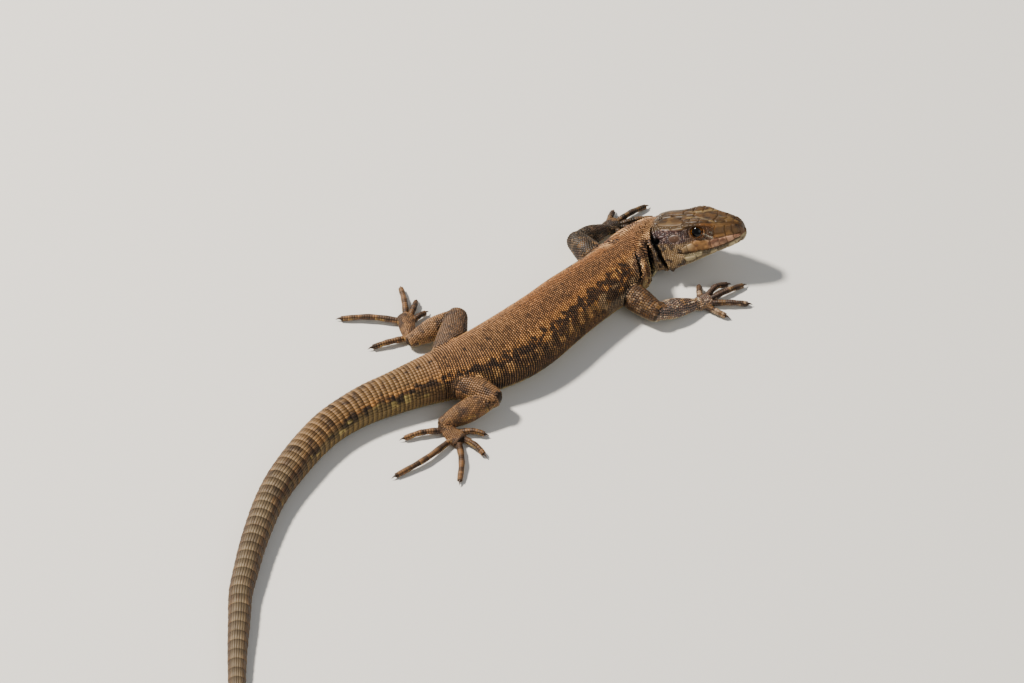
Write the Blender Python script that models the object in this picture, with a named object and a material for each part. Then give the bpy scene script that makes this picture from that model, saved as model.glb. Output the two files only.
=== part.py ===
"""Wall lizard, life size, at rest on a flat surface: the solids of its body.

Lengths below are in millimetres and become metres when a mesh is made. The floor is z = 0.
The trunk lies along +X with the head forward, and the animal's left side is +Y.
"""

import math

import bmesh
import bpy
import numpy as np

for startup in list(bpy.data.objects):
    bpy.data.objects.remove(startup, do_unlink=True)

MM = 0.001
GAP = 0.16
CENTRE = (-29.653, -16.317)

# Head: its length from the snout to the back of the crown, and how it is held.
HEAD_LENGTH = 15.5
HEAD_BASE = (32.24, 4.77, 4.74)
HEAD_YAW, HEAD_PITCH, HEAD_ROLL = -48.9, 16.7, -14.4
MOUTH_BELOW_AXIS = 0.75
MOUTH_REACH = 13.4
MOUTH_DROP = 0.35

# Head section against the distance from the snout, measured from the plane of the mouth.
HEAD_AT = (0.0, 0.5, 1.2, 2.2, 3.5, 5.0, 6.2, 7.5, 9.0, 10.5, 12.0, 13.5, 15.5, 19.0)
CROWN = (1.3, 2.3, 2.9, 3.4, 3.8, 4.15, 4.4, 4.58, 4.65, 4.65, 4.55, 4.4, 4.25, 4.2)
BROW_OUT = (0.42, 0.98, 1.36, 1.82, 2.25, 2.7, 3.05, 3.3, 3.3, 3.1, 3.0, 3.0, 3.25, 3.8)
BROW_UP = (1.2, 2.1, 2.65, 3.1, 3.5, 3.85, 4.13, 4.3, 4.32, 4.22, 4.0, 3.85, 3.65, 3.6)
SIDE_OUT = (0.5, 1.06, 1.5, 1.97, 2.44, 2.88, 3.25, 3.55, 3.8, 4.1, 4.35, 4.5, 4.7, 5.2)
SIDE_UP = (0.75, 1.1, 1.3, 1.6, 1.8, 2.0, 2.3, 2.4, 2.4, 2.4, 2.4, 2.4, 2.5, 2.4)
CHEEK_OUT = (0.5, 1.15, 1.65, 2.2, 2.7, 3.2, 3.55, 3.95, 4.4, 4.8, 5.1, 5.3, 5.5, 6.1)
CHEEK_UP = (0.5, 0.5, 0.55, 0.6, 0.6, 0.6, 0.6, 0.6, 0.5, 0.4, 0.4, 0.5, 0.7, 0.75)
JAW_OUT = (0.35, 0.85, 1.3, 1.8, 2.3, 2.8, 3.25, 3.7, 4.15, 4.55, 4.9, 5.15, 5.3, 5.5)
JAW_UP = (0.1, -0.3, -0.6, -0.85, -1.1, -1.32, -1.55, -1.8, -2.15, -2.52, -2.88, -3.1, -3.05, -2.9)
THROAT = (-0.1, -0.75, -1.05, -1.35, -1.6, -1.85, -2.1, -2.4, -2.75, -3.15, -3.5, -3.75, -3.8, -3.8)

# Body from the back of the head to the tail's tip: the axis in plan, half the width, the top
# and the underside of each section.
BODY = (
    (31.1, 4.85, 6.2, 8.3, 0.1),
    (29.7, 4.9, 6.3, 8.35, 0.0),
    (27.6, 4.65, 6.0, 8.4, -0.05),
    (24.1, 3.8, 5.55, 8.55, -0.1),
    (19.9, 3.1, 5.5, 8.75, -0.15),
    (15.3, 2.7, 5.6, 8.8, -0.2),
    (10.5, 2.2, 5.85, 8.85, -0.2),
    (5.6, 1.4, 6.05, 8.95, -0.2),
    (0.8, 0.7, 6.4, 9.0, -0.2),
    (-4.0, 0.4, 6.5, 8.9, -0.2),
    (-8.8, 0.8, 6.1, 8.7, -0.2),
    (-12.9, 1.6, 5.4, 8.3, -0.2),
    (-16.9, 2.8, 4.5, 7.8, -0.2),
    (-20.6, 3.8, 3.95, 7.3, -0.15),
    (-26.0, 5.0, 3.4, 6.6, -0.15),
    (-29.6, 5.7, 3.2, 6.3, -0.15),
    (-33.5, 6.0, 3.0, 5.9, -0.12),
    (-37.9, 5.8, 2.85, 5.6, -0.12),
    (-42.9, 4.6, 2.7, 5.3, -0.12),
    (-48.2, 2.6, 2.6, 5.1, -0.12),
    (-52.8, 0.5, 2.45, 4.8, -0.1),
    (-56.8, -1.9, 2.3, 4.5, -0.1),
    (-60.3, -4.5, 2.2, 4.3, -0.1),
    (-64.0, -7.5, 2.1, 4.1, -0.1),
    (-68.1, -11.2, 2.0, 3.9, -0.1),
    (-71.4, -14.3, 1.9, 3.7, -0.08),
    (-75.4, -19.2, 1.75, 3.4, -0.08),
    (-79.3, -24.0, 1.55, 3.0, -0.08),
    (-84.6, -31.0, 1.3, 2.5, -0.07),
    (-89.8, -38.5, 1.02, 1.95, -0.06),
    (-94.6, -46.2, 0.74, 1.4, -0.05),
    (-98.9, -54.2, 0.48, 0.9, -0.04),
    (-101.6, -60.0, 0.28, 0.52, -0.03),
)
UPPER_POWER, LOWER_POWER = 2.0, 2.35
NECK_BLEND = 4.0
COLLAR, VENT = 25.0, 66.0
TAIL_CUTS = (88.0, 112.0, 140.0)

EYE_AT, EYE_OUT, EYE_UP, EYE_RADIUS = 7.6, 2.42, 2.62, 1.48

# Limbs: joints, then the digits by name from root to tip, each as (x, y, z).
LIMBS = {
    "fore_right": {
        "joints": ((19.6, 0.6, 4.2), (21.6, -7.2, 2.7), (28.4, -8.8, 1.5)),
        "upper": (2.1, 2.3, 1.8),
        "lower": (1.45, 1.75, 1.15),
        "palm": ((28.1, -8.75, 1.35), (30.0, -9.0, 0.95), (31.6, -9.1, 0.75)),
        "palm_half": (0.85, 1.4, 1.5),
        "digits": (
            ((30.6, -8.3, 0.75), (32.0, -6.3, 0.95), (33.3, -4.7, 0.3)),
            ((31.2, -8.6, 0.75), (35.0, -7.6, 1.0), (37.8, -8.3, 0.3)),
            ((31.4, -9.1, 0.75), (35.7, -9.5, 1.0), (39.8, -10.0, 0.3)),
            ((31.2, -9.6, 0.75), (34.5, -12.3, 0.95), (37.4, -14.5, 0.3)),
            ((30.4, -9.8, 0.75), (31.2, -12.8, 0.9), (32.1, -14.8, 0.3)),
        ),
    },
    "fore_left": {
        "joints": ((20.4, 6.2, 4.6), (21.4, 14.0, 3.6), (28.1, 14.9, 1.4)),
        "upper": (2.1, 2.3, 1.8),
        "lower": (1.45, 1.8, 1.15),
        "palm": ((27.9, 14.9, 1.25), (29.6, 15.2, 0.95), (31.2, 15.2, 0.75)),
        "palm_half": (0.85, 1.4, 1.5),
        "digits": (
            ((30.0, 14.5, 0.75), (30.9, 12.4, 0.9), (31.7, 10.9, 0.3)),
            ((30.7, 14.7, 0.75), (33.6, 12.0, 1.0), (36.0, 10.1, 0.3)),
            ((31.0, 15.0, 0.75), (34.8, 13.6, 1.0), (38.3, 12.2, 0.3)),
            ((31.0, 15.5, 0.75), (35.1, 15.7, 1.0), (39.2, 15.6, 0.3)),
            ((30.0, 15.9, 0.75), (31.8, 17.3, 0.9), (33.7, 18.6, 0.3)),
        ),
    },
    "hind_right": {
        "joints": ((-16.0, 0.8, 3.9), (-13.5, -7.0, 4.0), (-22.3, -4.8, 1.7)),
        "upper": (2.8, 2.6, 1.85),
        "lower": (1.5, 2.0, 1.2),
        "palm": ((-22.3, -5.0, 1.45), (-22.4, -7.0, 1.1), (-22.1, -8.9, 0.8)),
        "palm_half": (0.9, 1.35, 1.55),
        "digits": (
            ((-21.2, -7.2, 0.8), (-18.7, -9.1, 0.95), (-17.2, -11.1, 0.3)),
            ((-21.4, -8.4, 0.8), (-20.8, -12.3, 1.0), (-20.8, -14.8, 0.3)),
            ((-22.2, -8.7, 0.8), (-25.2, -13.4, 1.0), (-28.4, -16.8, 0.3)),
            ((-22.6, -7.9, 0.85), (-29.7, -8.9, 1.05), (-36.3, -8.4, 0.3)),
            ((-22.6, -5.4, 0.85), (-26.5, -3.4, 0.95), (-29.9, -2.2, 0.3)),
        ),
    },
    "hind_left": {
        "joints": ((-14.4, 4.6, 4.2), (-6.5, 11.6, 4.3), (-14.4, 14.0, 1.7)),
        "upper": (2.8, 2.6, 1.85),
        "lower": (1.5, 2.0, 1.2),
        "palm": ((-14.3, 14.2, 1.45), (-13.0, 16.9, 1.05), (-11.4, 19.6, 0.8)),
        "palm_half": (0.9, 1.35, 1.55),
        "digits": (
            ((-11.7, 18.2, 0.8), (-9.0, 18.5, 0.95), (-6.9, 18.7, 0.3)),
            ((-11.4, 18.9, 0.8), (-8.6, 20.8, 1.0), (-6.7, 22.4, 0.3)),
            ((-11.5, 19.3, 0.8), (-8.9, 23.3, 1.05), (-7.0, 26.9, 0.3)),
            ((-12.0, 19.0, 0.85), (-16.5, 23.8, 1.0), (-20.8, 27.3, 0.3)),
            ((-14.0, 15.6, 0.85), (-17.8, 16.9, 0.95), (-21.0, 18.1, 0.3)),
        ),
    },
}
DIGIT_RADIUS = (0.52, 0.44, 0.38)
CLAW_LENGTH = 1.1

SKIN = {"head": (0.33, 0.24, 0.12), "trunk": (0.36, 0.17, 0.07), "tail": (0.34, 0.23, 0.15), "limb": (0.24, 0.18, 0.12)}
EYE_COLOUR = (0.01, 0.008, 0.006)


def curve(at, values, where):
    """Cubic through the values, with slopes from the neighbours on both sides."""
    at = np.asarray(at, float)
    values = np.asarray(values, float)
    where = np.atleast_1d(np.asarray(where, float))
    steps = np.diff(at)
    rates = np.diff(values) / steps
    slopes = np.empty(len(at))
    slopes[1:-1] = (rates[:-1] * steps[1:] + rates[1:] * steps[:-1]) / (steps[:-1] + steps[1:])
    slopes[0], slopes[-1] = rates[0], rates[-1]
    k = np.clip(np.searchsorted(at, where, side="right") - 1, 0, len(at) - 2)
    h = steps[k]
    t = np.clip((where - at[k]) / h, 0.0, 1.0)
    return (
        (2 * t**3 - 3 * t**2 + 1) * values[k]
        + (t**3 - 2 * t**2 + t) * h * slopes[k]
        + (3 * t**2 - 2 * t**3) * values[k + 1]
        + (t**3 - t**2) * h * slopes[k + 1]
    )


def ease(t):
    t = np.clip(t, 0.0, 1.0)
    return t * t * (3 - 2 * t)


def attitude(yaw, pitch, roll):
    """Forward, left and up of a section, from angles in degrees."""
    y, p, r = math.radians(yaw), math.radians(pitch), math.radians(roll)
    forward = np.array((math.cos(y) * math.cos(p), math.sin(y) * math.cos(p), math.sin(p)))
    level = np.array((-math.sin(y), math.cos(y), 0.0))
    square = np.cross(forward, level)
    left = level * math.cos(r) + square * math.sin(r)
    return forward, left, np.cross(forward, left)


HEAD_FORWARD, HEAD_LEFT, HEAD_UP = attitude(HEAD_YAW, HEAD_PITCH, HEAD_ROLL)


def head_point(along, left, up):
    """A point of the head: behind the snout, to the left, and above the plane of the mouth."""
    start = np.array(HEAD_BASE) - MOUTH_BELOW_AXIS * HEAD_UP
    return start + (HEAD_LENGTH - along) * HEAD_FORWARD + left * HEAD_LEFT + up * HEAD_UP


def spine():
    """Distance along the axis, with the axis, half width, half height there."""
    rows = []
    for along in (0.0, 5.0, 10.0, HEAD_LENGTH):
        rows.append((*(np.array(HEAD_BASE) + (HEAD_LENGTH - along) * HEAD_FORWARD), 4.7, 3.6))
    for x, y, half, top, under in BODY:
        rows.append((x, y, 0.5 * (top + under), half, 0.5 * (top - under)))
    rows = np.array(rows)
    apart = np.linalg.norm(np.diff(rows[:, :3], axis=0), axis=1)
    return np.concatenate([[0.0], np.cumsum(apart)]), rows


AT, SPINE = spine()
LENGTH = AT[-1]
RAILS = (
    (None, CROWN, 90.0),
    (BROW_OUT, BROW_UP, 56.0),
    (SIDE_OUT, SIDE_UP, 28.0),
    (CHEEK_OUT, CHEEK_UP, 2.0),
    (JAW_OUT, JAW_UP, -42.0),
    (None, THROAT, -90.0),
)


def head_section(along, rail):
    """Left and up of a point of the head's section, where rail runs from 0, the crown, to 5, the throat."""
    out = [np.zeros(1) if o is None else curve(HEAD_AT, o, along) for o, _, _ in RAILS]
    up = [curve(HEAD_AT, u, along) for _, u, _ in RAILS]
    across = np.array([-out[1][0], *[o[0] for o in out], -out[4][0]])
    high = np.array([up[1][0], *[u[0] for u in up], up[4][0]])
    at = np.arange(-1.0, 7.0)
    return curve(at, across, rail), curve(at, high, rail) - MOUTH_BELOW_AXIS


def body_section(half, rise, rail, grow=0.0):
    angle = np.radians(np.interp(rail, np.arange(6.0), [r[2] for r in RAILS]))
    cos, sin = np.cos(angle), np.sin(angle)
    power = np.where(sin > 0, UPPER_POWER, LOWER_POWER)
    across = (half + grow) * np.abs(cos) ** (2 / power)
    high = (rise + grow) * np.sign(sin) * np.abs(sin) ** (2 / power)
    return across, high


def ring(at, rails, grow=0.0):
    """One closed section of the body, anticlockwise seen from behind, starting at the crown."""
    centre = np.array([curve(AT, SPINE[:, i], at)[0] for i in range(3)])
    half, rise = curve(AT, SPINE[:, 3], at)[0], curve(AT, SPINE[:, 4], at)[0]
    loose = ease((at - HEAD_LENGTH) / 9.0)
    ahead = [curve(AT, SPINE[:, i], max(at - 0.6, 0))[0] - curve(AT, SPINE[:, i], min(at + 0.6, LENGTH))[0] for i in range(2)]
    yaw = HEAD_YAW + (math.degrees(math.atan2(ahead[1], ahead[0])) - HEAD_YAW) * ease((at - HEAD_LENGTH) / 11.0)
    _, left, up = attitude(yaw, HEAD_PITCH * (1 - loose), HEAD_ROLL * (1 - loose))
    across, high = body_section(half, rise, rails, grow)
    share = 1 - ease((at - HEAD_LENGTH + 1.0) / NECK_BLEND)
    if share > 0:
        head_across, head_high = head_section(min(at, HEAD_AT[-1]), rails)
        across = share * head_across + (1 - share) * across
        high = share * head_high + (1 - share) * high
    right_half = centre - np.outer(across, left) + np.outer(high, up)
    left_half = centre + np.outer(across, left) + np.outer(high, up)
    return np.concatenate([left_half, right_half[1:-1][::-1]])


BODY_RAILS = np.array((0, 0.5, 1, 1.5, 2, 2.5, 3, 3.33, 3.67, 4, 4.33, 4.67, 5))
TAIL_RAILS = np.array((0, 0.6, 1.2, 2, 3, 3.5, 4, 4.5, 5))


def mesh_object(name, points, faces, colour, helper=False):
    mesh = bpy.data.meshes.new(name)
    mesh.from_pydata([tuple(p) for p in np.asarray(points) * MM], [], faces)
    work = bmesh.new()
    work.from_mesh(mesh)
    bmesh.ops.recalc_face_normals(work, faces=work.faces[:])
    work.to_mesh(mesh)
    work.free()
    obj = bpy.data.objects.new(name, mesh)
    bpy.context.scene.collection.objects.link(obj)
    if helper:
        obj.hide_render = True
        obj.display_type = "WIRE"
    else:
        mesh.materials.append(material(colour))
    return obj


def material(colour):
    name = "finish_%02x%02x%02x" % tuple(int(255 * c) for c in colour)
    if name in bpy.data.materials:
        return bpy.data.materials[name]
    made = bpy.data.materials.new(name)
    made.use_nodes = True
    shader = made.node_tree.nodes["Principled BSDF"]
    shader.inputs["Base Color"].default_value = (*colour, 1.0)
    shader.inputs["Roughness"].default_value = 0.55
    return made


def loft(rings):
    """Points and faces of a closed body through the rings, each end closed by a fan."""
    count = len(rings[0])
    points = [p for r in rings for p in r]
    faces = []
    for i in range(len(rings) - 1):
        for j in range(count):
            k = (j + 1) % count
            faces.append((i * count + j, i * count + k, (i + 1) * count + k, (i + 1) * count + j))
    for first in (0, (len(rings) - 1) * count):
        points.append(np.mean(points[first : first + count], axis=0))
        faces += [(first + j, first + (j + 1) % count, len(points) - 1) for j in range(count)]
    return points, faces


def body_length(name, start, end, steps, rails, colour, grow=0.0, helper=False):
    stations = np.linspace(start, end, steps + 1)
    return mesh_object(name, *loft([ring(s, rails, grow) for s in stations]), colour, helper)


def tube(path, half_widths, half_heights, sides, steps, grow=0.0, tail=()):
    """A rounded body along a smooth path: rings across it, level from side to side where they can be."""
    path = np.array(path, float)
    at = np.concatenate([[0.0], np.cumsum(np.linalg.norm(np.diff(path, axis=0), axis=1))])
    wide_at = np.linspace(0, at[-1], len(half_widths))
    stations = [(s, 1.0, 0.0) for s in np.linspace(0, at[-1], steps + 1)]
    round_in = [(0.0, math.cos(a), -math.sin(a)) for a in (1.2, 0.7)]
    round_out = [] if tail else [(at[-1], math.cos(a), math.sin(a)) for a in (0.7, 1.2)]
    rings = []
    for s, shrink, beyond in round_in + stations + round_out:
        ahead = np.array([curve(at, path[:, i], s + 0.05)[0] - curve(at, path[:, i], s - 0.05)[0] for i in range(3)])
        if len(path) == 2:
            ahead = path[1] - path[0]
        ahead /= np.linalg.norm(ahead)
        side = np.cross((0, 0, 1), ahead)
        side /= np.linalg.norm(side)
        up = np.cross(ahead, side)
        wide = (curve(wide_at, half_widths, s)[0] + grow) * shrink
        high = (curve(wide_at, half_heights, s)[0] + grow) * shrink
        centre = np.array([curve(at, path[:, i], s)[0] for i in range(3)])
        centre = centre + ahead * beyond * (min(wide, high) / shrink)
        angles = np.arange(sides) * 2 * math.pi / sides
        rings.append(centre + np.outer(np.cos(angles) * wide, side) + np.outer(np.sin(angles) * high, up))
    for along, radius in tail:
        tip = path[-1] + ahead * along
        rings.append(tip + np.outer(np.cos(angles) * radius, side) + np.outer(np.sin(angles) * radius, up))
    return loft(rings)


def boolean(target, other, operation):
    step = target.modifiers.new(operation.lower() + "_" + other.name, "BOOLEAN")
    step.operation = operation
    step.object = other
    step.solver = "EXACT"


def box(name, low, high, frame=None):
    """A helper box; with a frame, its corners are head coordinates."""
    corners = [(x, y, z) for x in (low[0], high[0]) for y in (low[1], high[1]) for z in (low[2], high[2])]
    if frame:
        corners = [frame(*c) for c in corners]
    faces = [(0, 1, 3, 2), (4, 6, 7, 5), (0, 4, 5, 1), (2, 3, 7, 6), (0, 2, 6, 4), (1, 5, 7, 3)]
    return mesh_object(name, corners, faces, None, helper=True)


def ball(name, centre, radius, helper=False):
    work = bmesh.new()
    bmesh.ops.create_icosphere(work, subdivisions=2, radius=radius)
    points = [np.array(v.co) + centre for v in work.verts]
    faces = [tuple(v.index for v in f.verts) for f in work.faces]
    work.free()
    return mesh_object(name, points, faces, EYE_COLOUR, helper)


floor = box("cut_floor", (-160, -120, -20), (120, 120, 0))

# Head and lower jaw, parted on the plane of the mouth.
SNOUT_STATIONS = (0.0, 0.25, 0.6, 1.2, 2.0, 3.0, 4.2, 5.4, 6.6, 7.8, 9.0, 10.4, 11.8, 13.4, HEAD_LENGTH - 0.3)
head_loft = loft([ring(s, BODY_RAILS) for s in SNOUT_STATIONS])
head = mesh_object("head", *head_loft, SKIN["head"])
jaw = mesh_object("lower_jaw", *head_loft, SKIN["head"])
boolean(head, box("cut_mouth", (-4, -9, -9), (MOUTH_REACH + GAP / 2, 9, GAP / 2 - MOUTH_DROP), head_point), "DIFFERENCE")
boolean(jaw, box("keep_jaw", (-4, -9, -9), (MOUTH_REACH - GAP / 2, 9, -GAP / 2 - MOUTH_DROP), head_point), "INTERSECT")

# Eyes in their sockets.
for side, sign in (("left", 1), ("right", -1)):
    centre = head_point(EYE_AT, sign * EYE_OUT, EYE_UP)
    ball("eye_" + side, centre, EYE_RADIUS)
    boolean(head, ball("cut_socket_" + side, centre, EYE_RADIUS + 0.12, helper=True), "DIFFERENCE")

# Neck, trunk and tail, each a length of the same body.
NODES = [
    body_length("neck", HEAD_LENGTH - 0.3 + GAP, COLLAR - GAP / 2, 8, BODY_RAILS, SKIN["trunk"]),
    body_length("trunk", COLLAR + GAP / 2, VENT - GAP / 2, 20, BODY_RAILS, SKIN["trunk"]),
]
cuts = (VENT, *TAIL_CUTS, LENGTH + GAP / 2)
for i, (start, end) in enumerate(zip(cuts[:-1], cuts[1:])):
    steps = (10, 9, 10, 10)[i]
    rails = BODY_RAILS if i == 0 else TAIL_RAILS
    name = "tail_%d" % (i + 1)
    NODES.append(body_length(name, start + GAP / 2, end - GAP / 2, steps, rails, SKIN["tail"]))
for node in NODES:
    boolean(node, floor, "DIFFERENCE")

# Limbs: the upper length is cut back from the trunk, and each further length from the one above it.
clear = body_length("cut_body", HEAD_LENGTH + 2, 100.0, 46, BODY_RAILS, None, GAP, helper=True)
for limb, data in LIMBS.items():
    start, bend, end = data["joints"]
    upper, lower = data["upper"], data["lower"]
    thick = mesh_object(limb + "_upper", *tube((start, bend), upper, upper, 12, 5), SKIN["limb"])
    boolean(thick, clear, "DIFFERENCE")
    fat = mesh_object("cut_" + limb + "_upper", *tube((start, bend), upper, upper, 12, 5, GAP), None, helper=True)
    slim = mesh_object(limb + "_lower", *tube((bend, end), lower, lower, 12, 5), SKIN["limb"])
    boolean(slim, fat, "DIFFERENCE")
    wide = mesh_object("cut_" + limb + "_lower", *tube((bend, end), lower, lower, 12, 5, GAP), None, helper=True)
    flat = [0.75 * w if w > 1.2 else 0.85 * w for w in data["palm_half"]]
    foot = mesh_object(limb + "_foot", *tube(data["palm"], data["palm_half"], flat, 12, 4), SKIN["limb"])
    for i, digit in enumerate(data["digits"]):
        claw = ((0.3 * CLAW_LENGTH, 0.3), (CLAW_LENGTH, 0.25))
        tip = np.array(digit[-1])
        back = tip - np.array(digit[-2])
        back *= (np.linalg.norm(back) - CLAW_LENGTH) / np.linalg.norm(back)
        path = (digit[0], digit[1], np.array(digit[-2]) + back + (0, 0, 0.1))
        toe = mesh_object("join_%s_%d" % (limb, i + 1), *tube(path, DIGIT_RADIUS, DIGIT_RADIUS, 7, 4, tail=claw), None, helper=True)
        boolean(foot, toe, "UNION")
    boolean(foot, wide, "DIFFERENCE")
    boolean(foot, floor, "DIFFERENCE")
    boolean(slim, floor, "DIFFERENCE")
    boolean(slim, clear, "DIFFERENCE")
    boolean(foot, clear, "DIFFERENCE")

for obj in bpy.data.objects:
    obj.location = (-CENTRE[0] * MM, -CENTRE[1] * MM, 0.0)
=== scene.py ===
"""Wall lizard, life size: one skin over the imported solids, its scales and shields, eyes and claws.

Lengths are in millimetres until a piece is made, in the work frame of the CAD source; finished()
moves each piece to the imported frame, in metres. Positions on the body are (at, rail): at is the
distance from the snout along the axis, and rail runs from 0, the crown line, to 5, the belly line,
negative on the animal's right side.
"""

import math

import bpy
import numpy as np
from mathutils import Matrix
from mathutils.bvhtree import BVHTree
from mathutils.geometry import delaunay_2d_cdt
from mathutils.kdtree import KDTree


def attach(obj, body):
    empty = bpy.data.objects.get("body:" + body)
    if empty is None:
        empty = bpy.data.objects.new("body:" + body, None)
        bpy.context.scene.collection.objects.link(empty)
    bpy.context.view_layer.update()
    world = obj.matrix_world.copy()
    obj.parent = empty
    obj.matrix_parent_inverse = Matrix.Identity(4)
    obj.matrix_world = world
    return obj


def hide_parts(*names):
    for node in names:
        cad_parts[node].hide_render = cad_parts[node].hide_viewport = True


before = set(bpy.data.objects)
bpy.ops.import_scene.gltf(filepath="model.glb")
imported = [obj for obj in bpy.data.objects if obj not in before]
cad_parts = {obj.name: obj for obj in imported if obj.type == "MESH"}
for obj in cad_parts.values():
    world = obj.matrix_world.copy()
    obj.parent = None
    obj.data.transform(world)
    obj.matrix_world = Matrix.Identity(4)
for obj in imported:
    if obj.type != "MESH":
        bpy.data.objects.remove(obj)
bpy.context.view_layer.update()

# ---------------------------------------------------------------- sizes, in millimetres
MM = 0.001
CENTRE = np.array((-29.653, -16.317, 0.0))
HEAD_LENGTH = 15.5
HEAD_BASE = np.array((32.24, 4.77, 4.74))
HEAD_YAW, HEAD_PITCH, HEAD_ROLL = -48.9, 16.7, -14.4
MOUTH_BELOW_AXIS = 0.75

# The head's section against the distance from the snout, measured from the plane of the mouth.
HEAD_AT = (0.0, 0.5, 1.2, 2.2, 3.5, 5.0, 6.2, 7.5, 9.0, 10.5, 12.0, 13.5, 15.5, 19.0)
CROWN = (1.3, 2.3, 2.9, 3.4, 3.8, 4.15, 4.4, 4.58, 4.65, 4.65, 4.55, 4.4, 4.25, 4.2)
BROW_OUT = (0.42, 0.98, 1.36, 1.82, 2.25, 2.7, 3.05, 3.3, 3.3, 3.1, 3.0, 3.0, 3.25, 3.8)
BROW_UP = (1.2, 2.1, 2.65, 3.1, 3.5, 3.85, 4.13, 4.3, 4.32, 4.22, 4.0, 3.85, 3.65, 3.6)
SIDE_OUT = (0.5, 1.06, 1.5, 1.97, 2.44, 2.88, 3.25, 3.55, 3.8, 4.1, 4.35, 4.5, 4.7, 5.2)
SIDE_UP = (0.75, 1.1, 1.3, 1.6, 1.8, 2.0, 2.3, 2.4, 2.4, 2.4, 2.4, 2.4, 2.5, 2.4)
CHEEK_OUT = (0.5, 1.15, 1.65, 2.2, 2.7, 3.2, 3.55, 3.95, 4.4, 4.8, 5.1, 5.3, 5.5, 6.1)
CHEEK_UP = (0.5, 0.5, 0.55, 0.6, 0.6, 0.6, 0.6, 0.6, 0.5, 0.4, 0.4, 0.5, 0.7, 0.75)
JAW_OUT = (0.35, 0.85, 1.3, 1.8, 2.3, 2.8, 3.25, 3.7, 4.15, 4.55, 4.9, 5.15, 5.3, 5.5)
JAW_UP = (0.1, -0.3, -0.6, -0.85, -1.1, -1.32, -1.55, -1.8, -2.15, -2.52, -2.88, -3.1, -3.05, -2.9)
THROAT = (-0.1, -0.75, -1.05, -1.35, -1.6, -1.85, -2.1, -2.4, -2.75, -3.15, -3.5, -3.75, -3.8, -3.8)

# From the back of the head to the tail's tip: the axis in plan, half the width, top and underside.
BODY = (
    (31.1, 4.85, 6.2, 8.3, 0.1),
    (29.7, 4.9, 6.3, 8.35, 0.0),
    (27.6, 4.65, 6.0, 8.4, -0.05),
    (24.1, 3.8, 5.55, 8.55, -0.1),
    (19.9, 3.1, 5.5, 8.75, -0.15),
    (15.3, 2.7, 5.6, 8.8, -0.2),
    (10.5, 2.2, 5.85, 8.85, -0.2),
    (5.6, 1.4, 6.05, 8.95, -0.2),
    (0.8, 0.7, 6.4, 9.0, -0.2),
    (-4.0, 0.4, 6.5, 8.9, -0.2),
    (-8.8, 0.8, 6.1, 8.7, -0.2),
    (-12.9, 1.6, 5.4, 8.3, -0.2),
    (-16.9, 2.8, 4.5, 7.8, -0.2),
    (-20.6, 3.8, 3.95, 7.3, -0.15),
    (-26.0, 5.0, 3.4, 6.6, -0.15),
    (-29.6, 5.7, 3.2, 6.3, -0.15),
    (-33.5, 6.0, 3.0, 5.9, -0.12),
    (-37.9, 5.8, 2.85, 5.6, -0.12),
    (-42.9, 4.6, 2.7, 5.3, -0.12),
    (-48.2, 2.6, 2.6, 5.1, -0.12),
    (-52.8, 0.5, 2.45, 4.8, -0.1),
    (-56.8, -1.9, 2.3, 4.5, -0.1),
    (-60.3, -4.5, 2.2, 4.3, -0.1),
    (-64.0, -7.5, 2.1, 4.1, -0.1),
    (-68.1, -11.2, 2.0, 3.9, -0.1),
    (-71.4, -14.3, 1.9, 3.7, -0.08),
    (-75.4, -19.2, 1.75, 3.4, -0.08),
    (-79.3, -24.0, 1.55, 3.0, -0.08),
    (-84.6, -31.0, 1.3, 2.5, -0.07),
    (-89.8, -38.5, 1.02, 1.95, -0.06),
    (-94.6, -46.2, 0.74, 1.4, -0.05),
    (-98.9, -54.2, 0.48, 0.9, -0.04),
    (-101.6, -60.0, 0.28, 0.52, -0.03),
)
UPPER_POWER, LOWER_POWER = 2.0, 2.35
# Lengths over which the head's sections, its turn and its tilt run out into the neck.
NECK_BLEND, NECK_TURN, NECK_TILT = 4.0, 11.0, 9.0
EYE_AT, EYE_OUT, EYE_UP, EYE_RADIUS = 7.6, 2.42, 2.62, 1.48


def hermite(t, start, start_slope, end, end_slope):
    """Cubic from start to end while t goes from 0 to 1."""
    return (
        (2 * t**3 - 3 * t**2 + 1) * start
        + (t**3 - 2 * t**2 + t) * start_slope
        + (3 * t**2 - 2 * t**3) * end
        + (t**3 - t**2) * end_slope
    )


def curve(at, values, where):
    """Cubic through the values, with slopes from the neighbours on both sides."""
    at = np.asarray(at, float)
    values = np.asarray(values, float)
    where = np.atleast_1d(np.asarray(where, float))
    steps = np.diff(at)
    rates = np.diff(values) / steps
    slopes = np.empty(len(at))
    slopes[1:-1] = (rates[:-1] * steps[1:] + rates[1:] * steps[:-1]) / (steps[:-1] + steps[1:])
    slopes[0], slopes[-1] = rates[0], rates[-1]
    k = np.clip(np.searchsorted(at, where, side="right") - 1, 0, len(at) - 2)
    t = np.clip((where - at[k]) / steps[k], 0.0, 1.0)
    return hermite(t, values[k], steps[k] * slopes[k], values[k + 1], steps[k] * slopes[k + 1])


def ease(t):
    """0 below 0, 1 above 1, and a smooth step between."""
    t = np.clip(t, 0.0, 1.0)
    return t * t * (3 - 2 * t)


def unit(rows):
    """Vectors, one to a row, brought to length 1."""
    return rows / np.maximum(np.linalg.norm(rows, axis=-1, keepdims=True), 1e-12)


def dot(a, b):
    """Products of two lists of vectors, row by row."""
    return (a * b).sum(axis=-1)


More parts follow.
